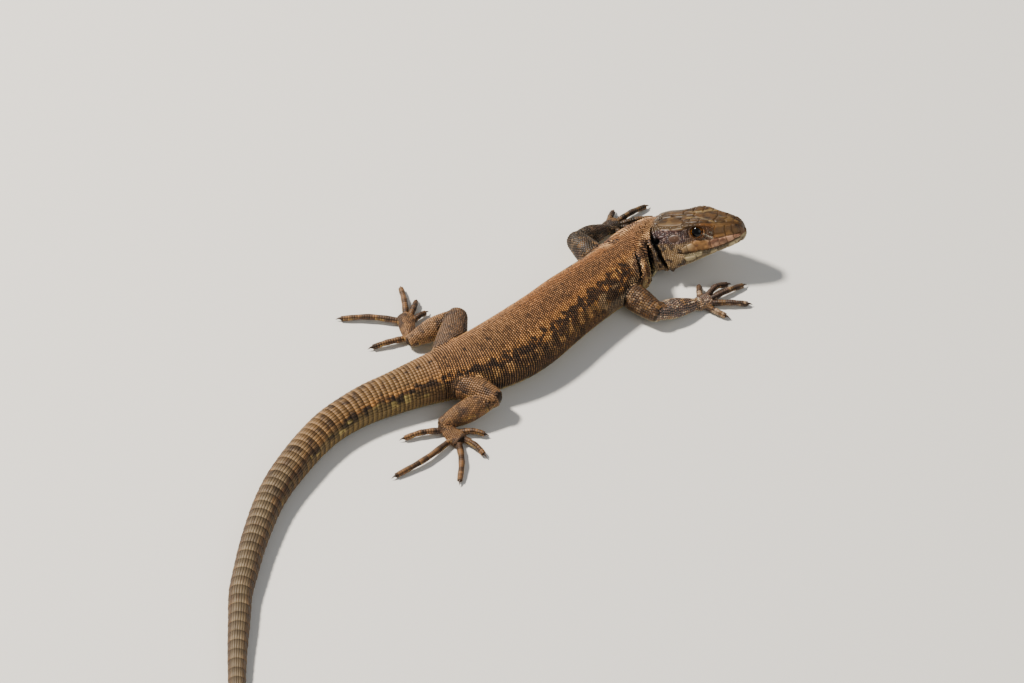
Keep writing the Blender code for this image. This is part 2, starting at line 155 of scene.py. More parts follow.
def attitude(yaw, pitch, roll):
    """Forward, left and up of sections, from arrays of angles in degrees."""
    y, p, r = (np.radians(np.atleast_1d(a).astype(float)) for a in (yaw, pitch, roll))
    forward = np.stack([np.cos(y) * np.cos(p), np.sin(y) * np.cos(p), np.sin(p)], axis=-1)
    level = np.stack([-np.sin(y), np.cos(y), 0 * y], axis=-1)
    square = np.cross(forward, level)
    left = level * np.cos(r)[:, None] + square * np.sin(r)[:, None]
    return forward, left, np.cross(forward, left)


HEAD_FORWARD, HEAD_LEFT, HEAD_UP = (v[0] for v in attitude(HEAD_YAW, HEAD_PITCH, HEAD_ROLL))
HEAD_START = HEAD_BASE - MOUTH_BELOW_AXIS * HEAD_UP + HEAD_LENGTH * HEAD_FORWARD


def spine():
    """Rows of centre, half width and half height along the body, and how far each is from the snout."""
    rows = []
    for along in (0.0, 5.0, 10.0, HEAD_LENGTH):
        rows.append((*(HEAD_BASE + (HEAD_LENGTH - along) * HEAD_FORWARD), 4.7, 3.6))
    for x, y, half, top, under in BODY:
        rows.append((x, y, 0.5 * (top + under), half, 0.5 * (top - under)))
    rows = np.array(rows)
    apart = np.linalg.norm(np.diff(rows[:, :3], axis=0), axis=1)
    return np.concatenate([[0.0], np.cumsum(apart)]), rows


AT, SPINE = spine()
LENGTH = AT[-1]
# For each rail of the head from crown to throat: outward and upward tables, and its angle on the body.
RAILS = (
    (None, CROWN, 90.0),
    (BROW_OUT, BROW_UP, 56.0),
    (SIDE_OUT, SIDE_UP, 28.0),
    (CHEEK_OUT, CHEEK_UP, 2.0),
    (JAW_OUT, JAW_UP, -42.0),
    (None, THROAT, -90.0),
)
RAIL_ANGLES = [r[2] for r in RAILS]


def head_section(along, rail):
    """Outward and upward distance of the head's section at these rails, without their sign."""
    out = [0 * along if o is None else curve(HEAD_AT, o, along) for o, _, _ in RAILS]
    up = [curve(HEAD_AT, u, along) for _, u, _ in RAILS]
    # One more rail at each end is the next one's mirror, so that the section closes smoothly.
    across = np.stack([-out[1], *out, -out[4]])
    high = np.stack([up[1], *up, up[4]])
    k = np.clip(np.floor(rail).astype(int), 0, 4)
    index = np.arange(len(rail))
    result = []
    for table in (across, high):
        before, a, b, after = (table[k + i, index] for i in range(4))
        result.append(hermite(rail - k, a, 0.5 * (b - before), b, 0.5 * (after - a)))
    return result[0], result[1] - MOUTH_BELOW_AXIS


def body_frame(at):
    """Centre, left and up of the body's sections at these distances from the snout."""
    centre = np.stack([curve(AT, SPINE[:, i], at) for i in range(3)], axis=-1)
    loose = ease((at - HEAD_LENGTH) / NECK_TILT)
    before, after = np.maximum(at - 0.6, 0), np.minimum(at + 0.6, LENGTH)
    ahead = [curve(AT, SPINE[:, i], before) - curve(AT, SPINE[:, i], after) for i in range(2)]
    turn = (np.degrees(np.arctan2(ahead[1], ahead[0])) - HEAD_YAW) % 360.0
    yaw = HEAD_YAW + turn * ease((at - HEAD_LENGTH) / NECK_TURN)
    _, left, up = attitude(yaw, HEAD_PITCH * (1 - loose), HEAD_ROLL * (1 - loose))
    return centre, left, up


def body_points(at, rail):
    """Points of the body's plain surface; rail is negative on the animal's right side."""
    at, rail = (np.array(a, float).ravel() for a in np.broadcast_arrays(at, rail))
    side, rail = np.where(rail < 0, -1.0, 1.0), np.abs(rail)
    centre, left, up = body_frame(at)
    angle = np.radians(np.interp(rail, np.arange(6.0), RAIL_ANGLES))
    cos, sin = np.cos(angle), np.sin(angle)
    power = np.where(sin > 0, UPPER_POWER, LOWER_POWER)
    across = curve(AT, SPINE[:, 3], at) * np.abs(cos) ** (2 / power)
    high = curve(AT, SPINE[:, 4], at) * np.sign(sin) * np.abs(sin) ** (2 / power)
    share = 1 - ease((at - HEAD_LENGTH + 1.0) / NECK_BLEND)
    head_across, head_high = head_section(np.minimum(at, HEAD_AT[-1]), rail)
    across = share * head_across + (1 - share) * across
    high = share * head_high + (1 - share) * high
    return centre + (side * across)[:, None] * left + high[:, None] * up


# ---------------------------------------------------------------- limbs
# Joints' centres and half widths from root to end, in millimetres, and each digit's knuckles and tip.
LIMBS = {
    "fore_right": {
        "joints": ((19.6, 0.6, 4.2), (21.6, -7.2, 2.7), (28.4, -8.8, 1.5)),
        "upper": (2.1, 2.3, 1.8),
        "lower": (1.45, 1.75, 1.15),
        "palm": ((28.1, -8.75, 1.35), (30.0, -9.0, 0.95), (31.6, -9.1, 0.75)),
        "palm_half": (0.85, 1.4, 1.5),
        "digits": (
            ((30.6, -8.3, 0.75), (32.0, -6.3, 0.95), (33.3, -4.7, 0.3)),
            ((31.2, -8.6, 0.75), (35.0, -7.6, 1.0), (37.8, -8.3, 0.3)),
            ((31.4, -9.1, 0.75), (35.7, -9.5, 1.0), (39.8, -10.0, 0.3)),
            ((31.2, -9.6, 0.75), (34.5, -12.3, 0.95), (37.4, -14.5, 0.3)),
            ((30.4, -9.8, 0.75), (31.2, -12.8, 0.9), (32.1, -14.8, 0.3)),
        ),
    },
    "fore_left": {
        "joints": ((20.4, 6.2, 4.6), (21.4, 14.0, 3.6), (28.1, 14.9, 1.4)),
        "upper": (2.1, 2.3, 1.8),
        "lower": (1.45, 1.8, 1.15),
        "palm": ((27.9, 14.9, 1.25), (29.6, 15.2, 0.95), (31.2, 15.2, 0.75)),
        "palm_half": (0.85, 1.4, 1.5),
        "digits": (
            ((30.0, 14.5, 0.75), (30.9, 12.4, 0.9), (31.7, 10.9, 0.3)),
            ((30.7, 14.7, 0.75), (33.6, 12.0, 1.0), (36.0, 10.1, 0.3)),
            ((31.0, 15.0, 0.75), (34.8, 13.6, 1.0), (38.3, 12.2, 0.3)),
            ((31.0, 15.5, 0.75), (35.1, 15.7, 1.0), (39.2, 15.6, 0.3)),
            ((30.0, 15.9, 0.75), (31.8, 17.3, 0.9), (33.7, 18.6, 0.3)),
        ),
    },
    "hind_right": {
        "joints": ((-16.0, 0.8, 3.9), (-13.5, -7.0, 4.0), (-22.3, -4.8, 1.7)),
        "upper": (2.8, 2.6, 1.85),
        "lower": (1.5, 2.0, 1.2),
        "palm": ((-22.3, -5.0, 1.45), (-22.4, -7.0, 1.1), (-22.1, -8.9, 0.8)),
        "palm_half": (0.9, 1.35, 1.55),
        "digits": (
            ((-21.2, -7.2, 0.8), (-18.7, -9.1, 0.95), (-17.2, -11.1, 0.3)),
            ((-21.4, -8.4, 0.8), (-20.8, -12.3, 1.0), (-20.8, -14.8, 0.3)),
            ((-22.2, -8.7, 0.8), (-25.2, -13.4, 1.0), (-28.4, -16.8, 0.3)),
            ((-22.6, -7.9, 0.85), (-29.7, -8.9, 1.05), (-36.3, -8.4, 0.3)),
            ((-22.6, -5.4, 0.85), (-26.5, -3.4, 0.95), (-29.9, -2.2, 0.3)),
        ),
    },
    "hind_left": {
        "joints": ((-14.4, 4.6, 4.2), (-6.5, 11.6, 4.3), (-14.4, 14.0, 1.7)),
        "upper": (2.8, 2.6, 1.85),
        "lower": (1.5, 2.0, 1.2),
        "palm": ((-14.3, 14.2, 1.45), (-13.0, 16.9, 1.05), (-11.4, 19.6, 0.8)),
        "palm_half": (0.9, 1.35, 1.55),
        "digits": (
            ((-11.7, 18.2, 0.8), (-9.0, 18.5, 0.95), (-6.9, 18.7, 0.3)),
            ((-11.4, 18.9, 0.8), (-8.6, 20.8, 1.0), (-6.7, 22.4, 0.3)),
            ((-11.5, 19.3, 0.8), (-8.9, 23.3, 1.05), (-7.0, 26.9, 0.3)),
            ((-12.0, 19.0, 0.85), (-16.5, 23.8, 1.0), (-20.8, 27.3, 0.3)),
            ((-14.0, 15.6, 0.85), (-17.8, 16.9, 0.95), (-21.0, 18.1, 0.3)),
        ),
    },
}
CLAW_LENGTH = 1.1
# Half width of a digit from root to tip, with a slight swelling at each joint.
DIGIT_HALF = 0.52 * np.array((1.0, 0.9, 1.0, 0.86, 0.94, 0.8, 0.86, 0.74))


# ---------------------------------------------------------------- the skin's surface
def hashed(x, y, z, seed):
    """A number from 0 to 1 for each cell of a lattice, the same on every run."""
    h = (x * 374761393 + y * 668265263 + z * 1274126177 + seed * 362437) & 0xFFFFFFFF
    h = ((h ^ (h >> 13)) * 1103515245) & 0xFFFFFFFF
    h = ((h ^ (h >> 16)) * 69069 + 12345) & 0xFFFFFFFF
    return (h ^ (h >> 15)) / 4294967295.0


def noise(points, size, seed):
    """Smooth noise from 0 to 1 whose blotches are about this size."""
    p = np.asarray(points, float) / size
    low = np.floor(p).astype(np.int64)
    f = ease(p - low)
    total = np.zeros(len(p))
    for i in (0, 1):
        for j in (0, 1):
            for k in (0, 1):
                share = np.abs(1 - i - f[:, 0]) * np.abs(1 - j - f[:, 1]) * np.abs(1 - k - f[:, 2])
                total += share * hashed(low[:, 0] + i, low[:, 1] + j, low[:, 2] + k, seed)
    return total


def mound(at, rail, where, long, middle, wide, power=2):
    """A smooth mound of height 1 at (where, middle): long and wide are its half sizes."""
    return np.exp(-(((at - where) / long) ** power) - ((rail - middle) / wide) ** 2)


def eye_frame(sign):
    """An eye's centre, and the directions outwards, forwards and upwards of its opening."""
    centre = HEAD_START - EYE_AT * HEAD_FORWARD + sign * EYE_OUT * HEAD_LEFT + EYE_UP * HEAD_UP
    axis = unit(0.07 * HEAD_FORWARD + sign * HEAD_LEFT * 0.94 + 0.34 * HEAD_UP)
    level = unit(HEAD_FORWARD - (HEAD_FORWARD @ axis) * axis)
    return centre, axis, level, sign * np.cross(level, axis)


EYES = {"left": eye_frame(1.0), "right": eye_frame(-1.0)}
EYE_OPEN = 1.16
LID_RADIUS = EYE_RADIUS + 0.1
# The opening of the lids is a little longer than it is high.
OPEN_LONG, OPEN_HIGH = 1.04, 0.93

# Where the mouth closes: the rail of the line against the distance from the snout.
MOUTH_AT = (0.0, 0.4, 0.85, 2.5, 4.2, 5.85, 7.5, 8.65, 10.15, 11.2)
MOUTH_RAIL = (2.6, 3.02, 3.3, 3.44, 3.5, 3.47, 3.35, 3.3, 3.22, 3.15)
MOUTH_END = 11.6
NOSTRIL = (0.95, 0.97)
EAR = (14.35, 2.2)

# Folds of the neck's skin: rails, distances from the snout, depth, and half widths along each.
FOLDS = (
    (
        (0.35, 0.96, 1.92, 2.75, 3.34, 3.73, 4.2, 4.7),
        (15.5, 15.65, 15.15, 14.5, 14.1, 13.6, 13.2, 13.0),
        0.8,
        (0.12, 0.16, 0.24, 0.34, 0.34, 0.3, 0.26, 0.2),
    ),
    (
        (1.35, 1.7, 2.68, 3.31, 3.7, 4.3),
        (16.5, 16.45, 16.12, 16.15, 16.4, 17.0),
        0.8,
        (0.2, 0.3, 0.4, 0.42, 0.36, 0.3),
    ),
    (
        (0.4, 0.85, 1.42, 2.08, 2.7),
        (23.25, 23.95, 24.75, 25.75, 26.8),
        0.55,
        (0.14, 0.26, 0.36, 0.34, 0.3),
    ),
    ((1.5, 2.1, 3.0, 3.8), (20.2, 20.6, 21.0, 21.6), 0.3, (0.15, 0.2, 0.25, 0.25)),
)
FOLDS_END = 30.0


def fold_lines():
    """The folds' lines in space with half width and depth at each point; shallower on the left."""
    lines = []
    for rails, ats, deep, wide in FOLDS:
        r = np.linspace(rails[0], rails[-1], 56)
        ends = ease((r - rails[0]) / 0.4) * ease((rails[-1] - r) / 0.5)
        for sign, share in ((-1.0, 1.0), (1.0, 0.4)):
            place = body_points(np.interp(r, rails, ats), sign * r)
            lines.append((place, np.interp(r, rails, wide), share * deep * ends))
    return lines


FOLD_LINES = fold_lines()


def fold_depth(points):
    """Depth of the neck's folds at these points, and how far the skin beside them puffs out."""
    depth = np.zeros(len(points))
    puff = np.zeros(len(points))
    ragged = 0.75 + 0.5 * noise(points, 0.7, 71)
    for line, wide, deep in FOLD_LINES:
        low, high = line.min(axis=0) - 1.4, line.max(axis=0) + 1.4
        near = np.nonzero(((points > low) & (points < high)).all(axis=1))[0]
        # In lots, to keep the table of distances small.
        for start in range(0, len(near), 20000):
            part = near[start : start + 20000]
            apart = ((points[part][:, None] - line[None]) ** 2).sum(axis=2)
            k = apart.argmin(axis=1)
            off = np.sqrt(apart.min(axis=1)) / (wide[k] * ragged[part])
            depth[part] = np.maximum(depth[part], deep[k] * np.exp(-(off**3)))
            puff[part] = np.maximum(puff[part], 0.34 * deep[k] * np.exp(-(((off - 2.0) / 0.9) ** 2)))
    return depth, puff


def folds_at(at, rail):
    """Depth of the folds at places of the body; 0 behind the neck."""
    depth = np.zeros(len(at))
    near = at < FOLDS_END
    depth[near] = fold_depth(body_points(at[near], rail[near]))[0]
    return depth


# Lobes of loose skin at the bottom of the first two folds, then ridges and hollows of the head:
# height, then where, half length, middle rail, half width and power of a mound.
LOBES = ((0.36, 12.75, 0.75, 4.1, 0.38, 2), (0.4, 17.3, 0.7, 4.1, 0.38, 2))
HEAD_FORMS = (
    (0.16, 7.2, 1.9, 0.72, 0.22, 2),
    (-0.1, 6.4, 1.9, 0.12, 0.3, 2),
    (0.14, 7.2, 2.3, 1.02, 0.1, 4),
    (-0.16, 7.6, 2.2, 1.3, 0.14, 4),
    (-0.2, 4.1, 0.9, 1.9, 0.42, 2),
    (-0.12, 2.4, 0.5, 1.5, 0.35, 2),
    (0.16, 11.6, 2.0, 2.2, 0.7, 2),
    (-0.36, NOSTRIL[0], 0.15, NOSTRIL[1], 0.13, 2),
    (0.07, NOSTRIL[0], 0.4, NOSTRIL[1], 0.42, 2),
)
# Grooves and rolls along the mouth: height, distance below the line and half width.
LIP_FORMS = ((-0.2, 0.0, 0.09), (0.05, -0.35, 0.22), (-0.07, 0.25, 0.2))


def relief(at, rail, points):
    """How far folds, ridges and hollows lift the skin above the plain body, along its normal."""
    r = np.abs(rail)
    high = np.zeros(len(at))
    near = at < FOLDS_END
    if near.any():
        deep, puff = fold_depth(points[near])
        high[near] += puff - deep
        for tall, *form in LOBES:
            high[near] += tall * mound(at[near], r[near], *form)
    head = at < 16.5
    if head.any():
        a, q = at[head], r[head]
        lift = sum(tall * mound(a, q, *form) for tall, *form in HEAD_FORMS)
        pitch = np.interp(a, (0.0, 1.2, 3.5, 7.5, 12.0), (0.5, 0.9, 1.6, 2.4, 2.7))
        off = (q - np.interp(a, MOUTH_AT, MOUTH_RAIL)) * pitch
        for tall, middle, wide in LIP_FORMS:
            lift += ease((MOUTH_END - a) / 1.0) * tall * np.exp(-(((off - middle) / wide) ** 2))
        ear = np.hypot((a - EAR[0]) / 0.36, (q - EAR[1]) / 0.26)
        lift -= 0.75 * ease((1.25 - ear) / 0.5)
        high[head] += lift
    return high


def lid_fit(points):
    """Moves skin near an eye onto the lids, and away inside the opening."""
    for centre, axis, _, _ in EYES.values():
        apart = points - centre
        close = np.nonzero((np.linalg.norm(apart, axis=1) < 3.2) & (apart @ axis > 0.1))[0]
        out = apart[close] @ axis
        flat = apart[close] - out[:, None] * axis
        along = flat @ HEAD_FORWARD
        r = np.sqrt((along / OPEN_LONG) ** 2 + (dot(flat, flat) - along**2) / OPEN_HIGH**2)
        lid = np.sqrt(np.maximum(LID_RADIUS**2 - r**2, 0.05))
        share = 1 - ease((r - EYE_OPEN - 0.06) / 0.42)
        new = share * lid + (1 - share) * out
        new = np.where(r < EYE_OPEN, new - 0.42 * ease((EYE_OPEN - r) / 0.2), new)
        points[close] = centre + flat + new[:, None] * axis
    return points


def normals(at, rail):
    """Outward unit normals of the plain body, and the unit direction towards the tail."""
    side, r = np.where(rail < 0, -1.0, 1.0), np.abs(rail)
    e = 0.02
    along = body_points(at + e, rail) - body_points(np.maximum(at - e, 0.0), rail)
    low, high = np.clip(r - e, 0.0, 5.0), np.clip(r + e, 0.0, 5.0)
    # Just off the crown line, so that a negative rail keeps its side.
    tiny = np.where(low == 0.0, 1e-9, 0.0)
    across = body_points(at, side * high) - body_points(at, side * (low + tiny))
    normal = unit(np.cross(across * side[:, None], along))
    flip = np.sign(dot(body_points(at, rail) - body_frame(at)[0], normal))
    return normal * flip[:, None], unit(along)


def surface(at, rail, lift=0.0):
    """Points on the finished skin, raised by lift, with the normals and the tailward direction."""
    at, rail = (np.array(a, float).ravel() for a in np.broadcast_arrays(at, rail))
    points = body_points(at, rail)
    normal, along = normals(at, rail)
    points = points + normal * (relief(at, rail, points) + np.asarray(lift))[:, None]
    return points, normal, along


def tube_of(path, wide, high):
    """A part of a limb: its path, and half widths and heights at equal steps along it."""
    path = np.array(path, float)
    at = np.concatenate([[0.0], np.cumsum(np.linalg.norm(np.diff(path, axis=0), axis=1))])
    return {"path": path, "at": at, "wide": np.array(wide), "high": np.array(high), "long": at[-1]}


def tube_frame(tube, t):
    """Centre, ahead, side, up, half width and half height of a tube at distances t."""
    path, at = tube["path"], tube["at"]

    def place(t):
        return np.stack([curve(at, path[:, i], t) for i in range(3)], axis=-1)

    centre = place(t)
    if len(path) == 2:
        ahead = np.broadcast_to(path[1] - path[0], centre.shape)
    else:
        ahead = place(np.clip(t + 0.05, 0, at[-1])) - place(np.clip(t - 0.05, 0, at[-1]))
    ahead = unit(ahead)
    side = unit(np.cross((0.0, 0.0, 1.0), ahead))
    where = np.linspace(0, at[-1], len(tube["wide"]))
    wide, high = curve(where, tube["wide"], t), curve(where, tube["high"], t)
    return centre, ahead, side, np.cross(ahead, side), wide, high


def tube_points(tube, t, angle, lift=0.0):
    """Points of a tube's surface, with normals and the direction towards its tip."""
    t, angle = (np.array(a, float).ravel() for a in np.broadcast_arrays(t, angle))
    centre, ahead, side, up, wide, high = tube_frame(tube, t)
    c, s = np.cos(angle), np.sin(angle)
    points = centre + ((wide + lift) * c)[:, None] * side + ((high + lift) * s)[:, None] * up
    return points, unit((c / wide)[:, None] * side + (s / high)[:, None] * up), ahead


def limb_tubes():
    """Each limb's upper and lower length, palm and digits, by limb and part."""
    tubes = {}
    for limb, data in LIMBS.items():
        start, bend, end = data["joints"]
        tubes[limb, "upper"] = tube_of((start, bend), data["upper"], data["upper"])
        tubes[limb, "lower"] = tube_of((bend, end), data["lower"], data["lower"])
        flat = [0.75 * w if w > 1.2 else 0.85 * w for w in data["palm_half"]]
        tubes[limb, "palm"] = tube_of(data["palm"], data["palm_half"], flat)
        for i, (root, knuckle, tip) in enumerate(data["digits"]):
            # The flesh ends a claw's length before the tip.
            back = np.array(tip) - np.array(knuckle)
            back *= (np.linalg.norm(back) - CLAW_LENGTH) / np.linalg.norm(back)
            path = (root, knuckle, np.array(knuckle) + back + (0, 0, 0.1))
            tubes[limb, "digit_%d" % (i + 1)] = tube_of(path, DIGIT_HALF, DIGIT_HALF)
    return tubes


TUBES = limb_tubes()

# ---------------------------------------------------------------- colours and markings
def rgb(r, g, b):
    """Linear colour from the 0 to 255 numbers of a screen colour."""
    c = np.array((r, g, b)) / 255.0
    return np.where(c <= 0.04045, c / 12.92, ((c + 0.055) / 1.055) ** 2.4)


def mix(a, b, t):
    """a where t is 0, b where it is 1, and between them in between."""
    t = np.clip(np.asarray(t, float), 0.0, 1.0)[..., None]
    return a * (1 - t) + b * t


def band(value, low, high, soft):
    """1 between low and high, falling to 0 over soft outside them."""
    return ease((value - low) / soft + 1.0) * ease((high - value) / soft + 1.0)


def profile(at, *table):
    """The value at each place, from a table of (place, value)."""
    return np.interp(at, [p[0] for p in table], [p[1] for p in table])


BACK = rgb(130, 95, 68)
BACK_OLIVE = rgb(114, 91, 66)
RUST = rgb(157, 104, 66)
DARK = rgb(34, 24, 19)
BROWN_DARK = rgb(70, 46, 30)
ORANGE = rgb(208, 152, 98)
BELLY = rgb(206, 192, 154)
BELLY_YELLOW = rgb(150, 130, 92)
TAIL = rgb(122, 95, 66)
TAIL_GREY = rgb(107, 92, 72)
LIMB = rgb(126, 94, 66)
LIMB_DARK = rgb(58, 42, 32)
CROWN_TONE = rgb(62, 47, 29)
CROWN_EDGE = rgb(98, 75, 45)
TEMPLE = rgb(70, 48, 46)
LABIAL = rgb(198, 154, 126)
JAW_TONE = rgb(198, 180, 144)
BUFF = rgb(166, 124, 84)
FOLD_SHADE = rgb(12, 8, 7)
HORN = rgb(62, 44, 34)


class Marked:
    """Points of the surface to be coloured, with where they lie on it.

    fine and wander are (size, seed) of the two noises that most markings share.
    """

    def __init__(self, at, rail, points, fine, wander):
        self.at, self.rail, self.r, self.points = at, rail, np.abs(rail), points
        self.fine, self.wander = noise(points, *fine), noise(points, *wander)

    def blots(self, size, seed, low, soft):
        """Soft-edged blots of about this size, where the noise is over low."""
        return ease((noise(self.points, size, seed) - low) / soft)

    def specks(self, size, seed, low):
        """Blots with a hard edge."""
        return noise(self.points, size, seed) > low

    def waver(self, seed, size, side=0.0):
        """A slow change along the body for marks in rows; with side, each side has its own."""
        across = np.full(len(self.at), 7.0 if side else 0.0)
        return noise(np.stack([self.at, across, np.sign(self.rail) * side], axis=1), size, seed)

    def shade(self, low, high):
        """A factor from low to high that differs from scale to scale."""
        return (low + (high - low) * self.fine)[:, None]

    def folds(self, colour):
        """The colour with the shadowed depth of the neck's folds."""
        return mix(colour, FOLD_SHADE, ease((folds_at(self.at, self.rail) - 0.04) / 0.26) * 0.97)


def back_paint(m):
    """Ground colour of the back and tail, and the flecks on and beside the back line."""
    at, r = m.at, m.r
    colour = mix(BACK_OLIVE, BACK, ease((at - 15.0) / 7.0))
    rusty = ease((r - 0.3) / 0.6) * profile(at, (20, 0.0), (26, 1.0), (45, 0.7), (67, 0.2))
    colour = mix(colour, RUST, 0.3 * noise(m.points, 4.0, 12) + 0.6 * rusty)
    colour = mix(colour, rgb(142, 108, 78), 0.6 * ease((at - 42.0) / 14.0))
    colour = mix(colour, TAIL, ease((at - 62.0) / 12.0))
    colour = mix(colour, TAIL_GREY, ease((at - 86.0) / 22.0))
    colour = colour * m.shade(0.8, 1.2)
    colour = mix(colour, BROWN_DARK, 0.6 * m.specks(0.42, 14, 0.76) * (r < 1.2) * band(at, 24, 130, 6))
    phase = at / 2.15 + 0.6 * m.waver(15, 5.0)
    near_line = band(r, 0.0, 0.1, 0.06) + 0.3 * m.specks(0.6, 25, 0.72) * (r < 0.5)
    fleck = band(phase - np.floor(phase), 0.36, 0.6, 0.08) * np.minimum(near_line, 1.0)
    strength = profile(at, (34, 0.0), (48, 0.35), (60, 0.85), (66, 0.95), (84, 0.8), (100, 0.0))
    return mix(colour, DARK, fleck * strength * (m.wander > 0.36))


def flank_paint(m, colour):
    """The dark band along the side, with the light spots and the speckled flank below it."""
    at, r, wander = m.at, m.r, m.wander
    # The band's upper edge is a row of teeth 2.5 mm apart; on the left the band starts lower.
    lean = 0.75 * (m.rail > 0)
    tooth_at = at / 2.5 + 0.5 * m.waver(16, 6.0, 9.0)
    tooth = np.abs((tooth_at - np.floor(tooth_at)) * 2 - 1)
    top = profile(
        at, (15, 1.35), (20, 1.1), (24, 0.8), (27, 0.68), (31, 0.84), (40, 0.98), (54, 1.1), (62, 1.36),
        (70, 1.45), (90, 1.4),
    )
    under = profile(
        at, (15, 2.0), (20, 1.9), (25, 2.0), (31, 2.35), (36, 2.0), (40, 1.82), (62, 1.85), (70, 1.85),
        (90, 1.8),
    )
    top = top - 0.06 + lean + 0.28 * (tooth - 0.5) + 0.26 * (wander - 0.5)
    inside = band(r, top, under + 0.12 + 0.5 * lean + 0.2 * (m.fine - 0.5), 0.05)
    strength = profile(at, (16.5, 0.35), (21, 0.8), (26, 0.95), (62, 0.95), (80, 0.75), (96, 0.0))
    above = band(r, top - 0.34, top, 0.1) * (0.3 + 0.7 * (tooth > 0.4))
    colour = mix(colour, ORANGE, 0.6 * above * strength * (0.25 + 0.75 * m.fine))
    colour = mix(colour, DARK, inside * strength * (0.7 + 0.3 * m.specks(0.5, 17, 0.36)))
    warm = m.blots(0.62, 26, 0.58, 0.1) * inside * (0.45 + 0.55 * m.fine)
    colour = mix(colour, 0.5 * (RUST + ORANGE), 0.75 * warm * strength)
    colour = mix(colour, ORANGE, 0.7 * m.blots(0.62, 26, 0.68, 0.08) * inside * strength)
    flank = band(r, under, 3.65, 0.1) * profile(at, (17, 0.3), (24, 1), (64, 1), (72, 0))
    colour = mix(colour, rgb(70, 50, 35), 0.88 * flank)
    low = band(r, under - 0.05, under + 0.62, 0.12) * profile(at, (30, 0), (37, 1), (60, 1), (68, 0))
    spot = low * ease((0.52 - tooth) / 0.1) * (wander > 0.3)
    colour = mix(colour, rgb(212, 164, 116), 0.9 * spot * (0.5 + 0.5 * m.fine))
    gold = m.blots(0.42, 18, 0.52, 0.1) * band(r, 1.8, 3.2, 0.2) * (at > 24) * (at < 67)
    colour = mix(colour, rgb(150, 118, 78), 0.4 * gold)
    return mix(colour, DARK, 0.6 * flank * m.blots(1.6, 27, 0.55, 0.1))


def neck_paint(m, colour):
    """The black patch on the shoulder, the armpit, and orange and cream between the neck's folds."""
    at, r = m.at, m.r
    shoulder = band(at, 27.5, 35.0, 1.2) * band(r, 1.7, 2.9, 0.25)
    colour = mix(colour, DARK, 0.85 * shoulder * m.specks(1.5, 28, 0.3))
    colour = mix(colour, rgb(176, 148, 116), 0.75 * shoulder * m.blots(1.2, 29, 0.56, 0.06))
    armpit = band(at, 28.0, 33.5, 1.0) * band(r, 2.7, 3.5, 0.3)
    colour = mix(colour, rgb(128, 118, 102), 0.7 * armpit * (0.5 + 0.5 * m.fine))
    patch = band(at, 16.2, 26.0, 1.0) * band(r, 0.9, 3.6, 0.4)
    colour = mix(colour, rgb(202, 160, 120), 0.85 * patch * (m.wander > 0.35))
    colour = mix(colour, rgb(66, 44, 38), 0.8 * patch * m.blots(1.0, 19, 0.52, 0.08))
    beads = patch * ease((r - 2.5) / 0.7) * m.specks(0.6, 30, 0.38)
    return mix(colour, rgb(216, 190, 142), 0.85 * beads)


def belly_paint(m, colour):
    """The pale belly, and the dark blots along its edge."""
    at, r = m.at, m.r
    colour = mix(colour, BELLY_YELLOW * m.shade(0.8, 1.2), ease((r - 3.35) / 0.4) * (at < 110))
    pale = ease((r - 3.6) / 0.5) * profile(at, (80, 1), (110, 0.35))
    colour = mix(colour, BELLY * m.shade(0.9, 1.1), pale)
    blot = band(r, 3.4, 3.9, 0.1) * m.specks(1.1, 20, 0.62) * band(at, 26, 64, 1)
    return mix(colour, DARK, 0.7 * blot)


def tail_paint(m, colour):
    """Dark flecks in rows over the tail's back, and on its side dark wedges with pale ones between."""
    at, r = m.at, m.r
    side = profile(at, (66, 0.0), (74, 1.0), (100, 0.9), (124, 0.25))
    colour = mix(colour, rgb(120, 104, 72), 0.7 * side * ease((r - 1.7) / 0.6))
    wedge = band(r, 1.5 + 0.25 * (m.wander - 0.5), 2.5, 0.1) * m.blots(1.15, 21, 0.42, 0.1)
    colour = mix(colour, DARK, 0.85 * side * wedge)
    pale = band(r, 1.9, 2.9, 0.1) * m.blots(1.05, 22, 0.62, 0.08)
    colour = mix(colour, rgb(190, 168, 114), 0.8 * side * pale)
    gleam = band(r, 0.9, 1.55, 0.15) * m.blots(1.1, 24, 0.6, 0.1)
    colour = mix(colour, rgb(158, 120, 82), 0.4 * side * gleam)
    dots = band(r, 0.1, 1.35, 0.1) * m.blots(0.85, 23, 0.6, 0.06) * (whorl_phase(at) < 0.6)
    colour = mix(colour, DARK, 0.75 * side * dots)
    # Painted shade: the tail's sides darker from 84 mm on.
    return mix(colour, BROWN_DARK, 0.62 * ease((at - 84) / 20) * band(r, 1.6, 3.6, 0.7))


def body_paint(at, rail, points):
    """Markings of neck, trunk and tail."""
    marked = Marked(at, rail, points, (0.55, 13), (1.3, 11))
    colour = back_paint(marked)
    for layer in (flank_paint, neck_paint, belly_paint, tail_paint):
        colour = layer(marked, colour)
    return marked.folds(colour)


# Length of a ring of the tail's scales against the distance from the snout.
WHORL_AT = (66.0, 70.0, 75.0, 80.0, 85.0, 95.0, 105.0, 115.0, 140.0, 160.0, 182.0)
WHORL_LONG = (0.48, 0.62, 0.84, 1.02, 1.2, 1.45, 1.7, 1.85, 1.9, 1.75, 1.45)


def rows_of(start, end, pitch_at, pitch):
    """Row positions whose spacing follows a table of pitch against position."""
    rows = [start]
    while rows[-1] < end:
        rows.append(rows[-1] + float(np.interp(rows[-1], pitch_at, pitch)))
    return np.array(rows)


WHORLS = rows_of(66.3, LENGTH - 0.6, WHORL_AT, WHORL_LONG)


def whorl_phase(at):
    """Runs from 0 to 1 over each pair of rings of the tail."""
    count = np.interp(at, WHORLS, np.arange(len(WHORLS)))
    return 0.5 * count - np.floor(0.5 * count)


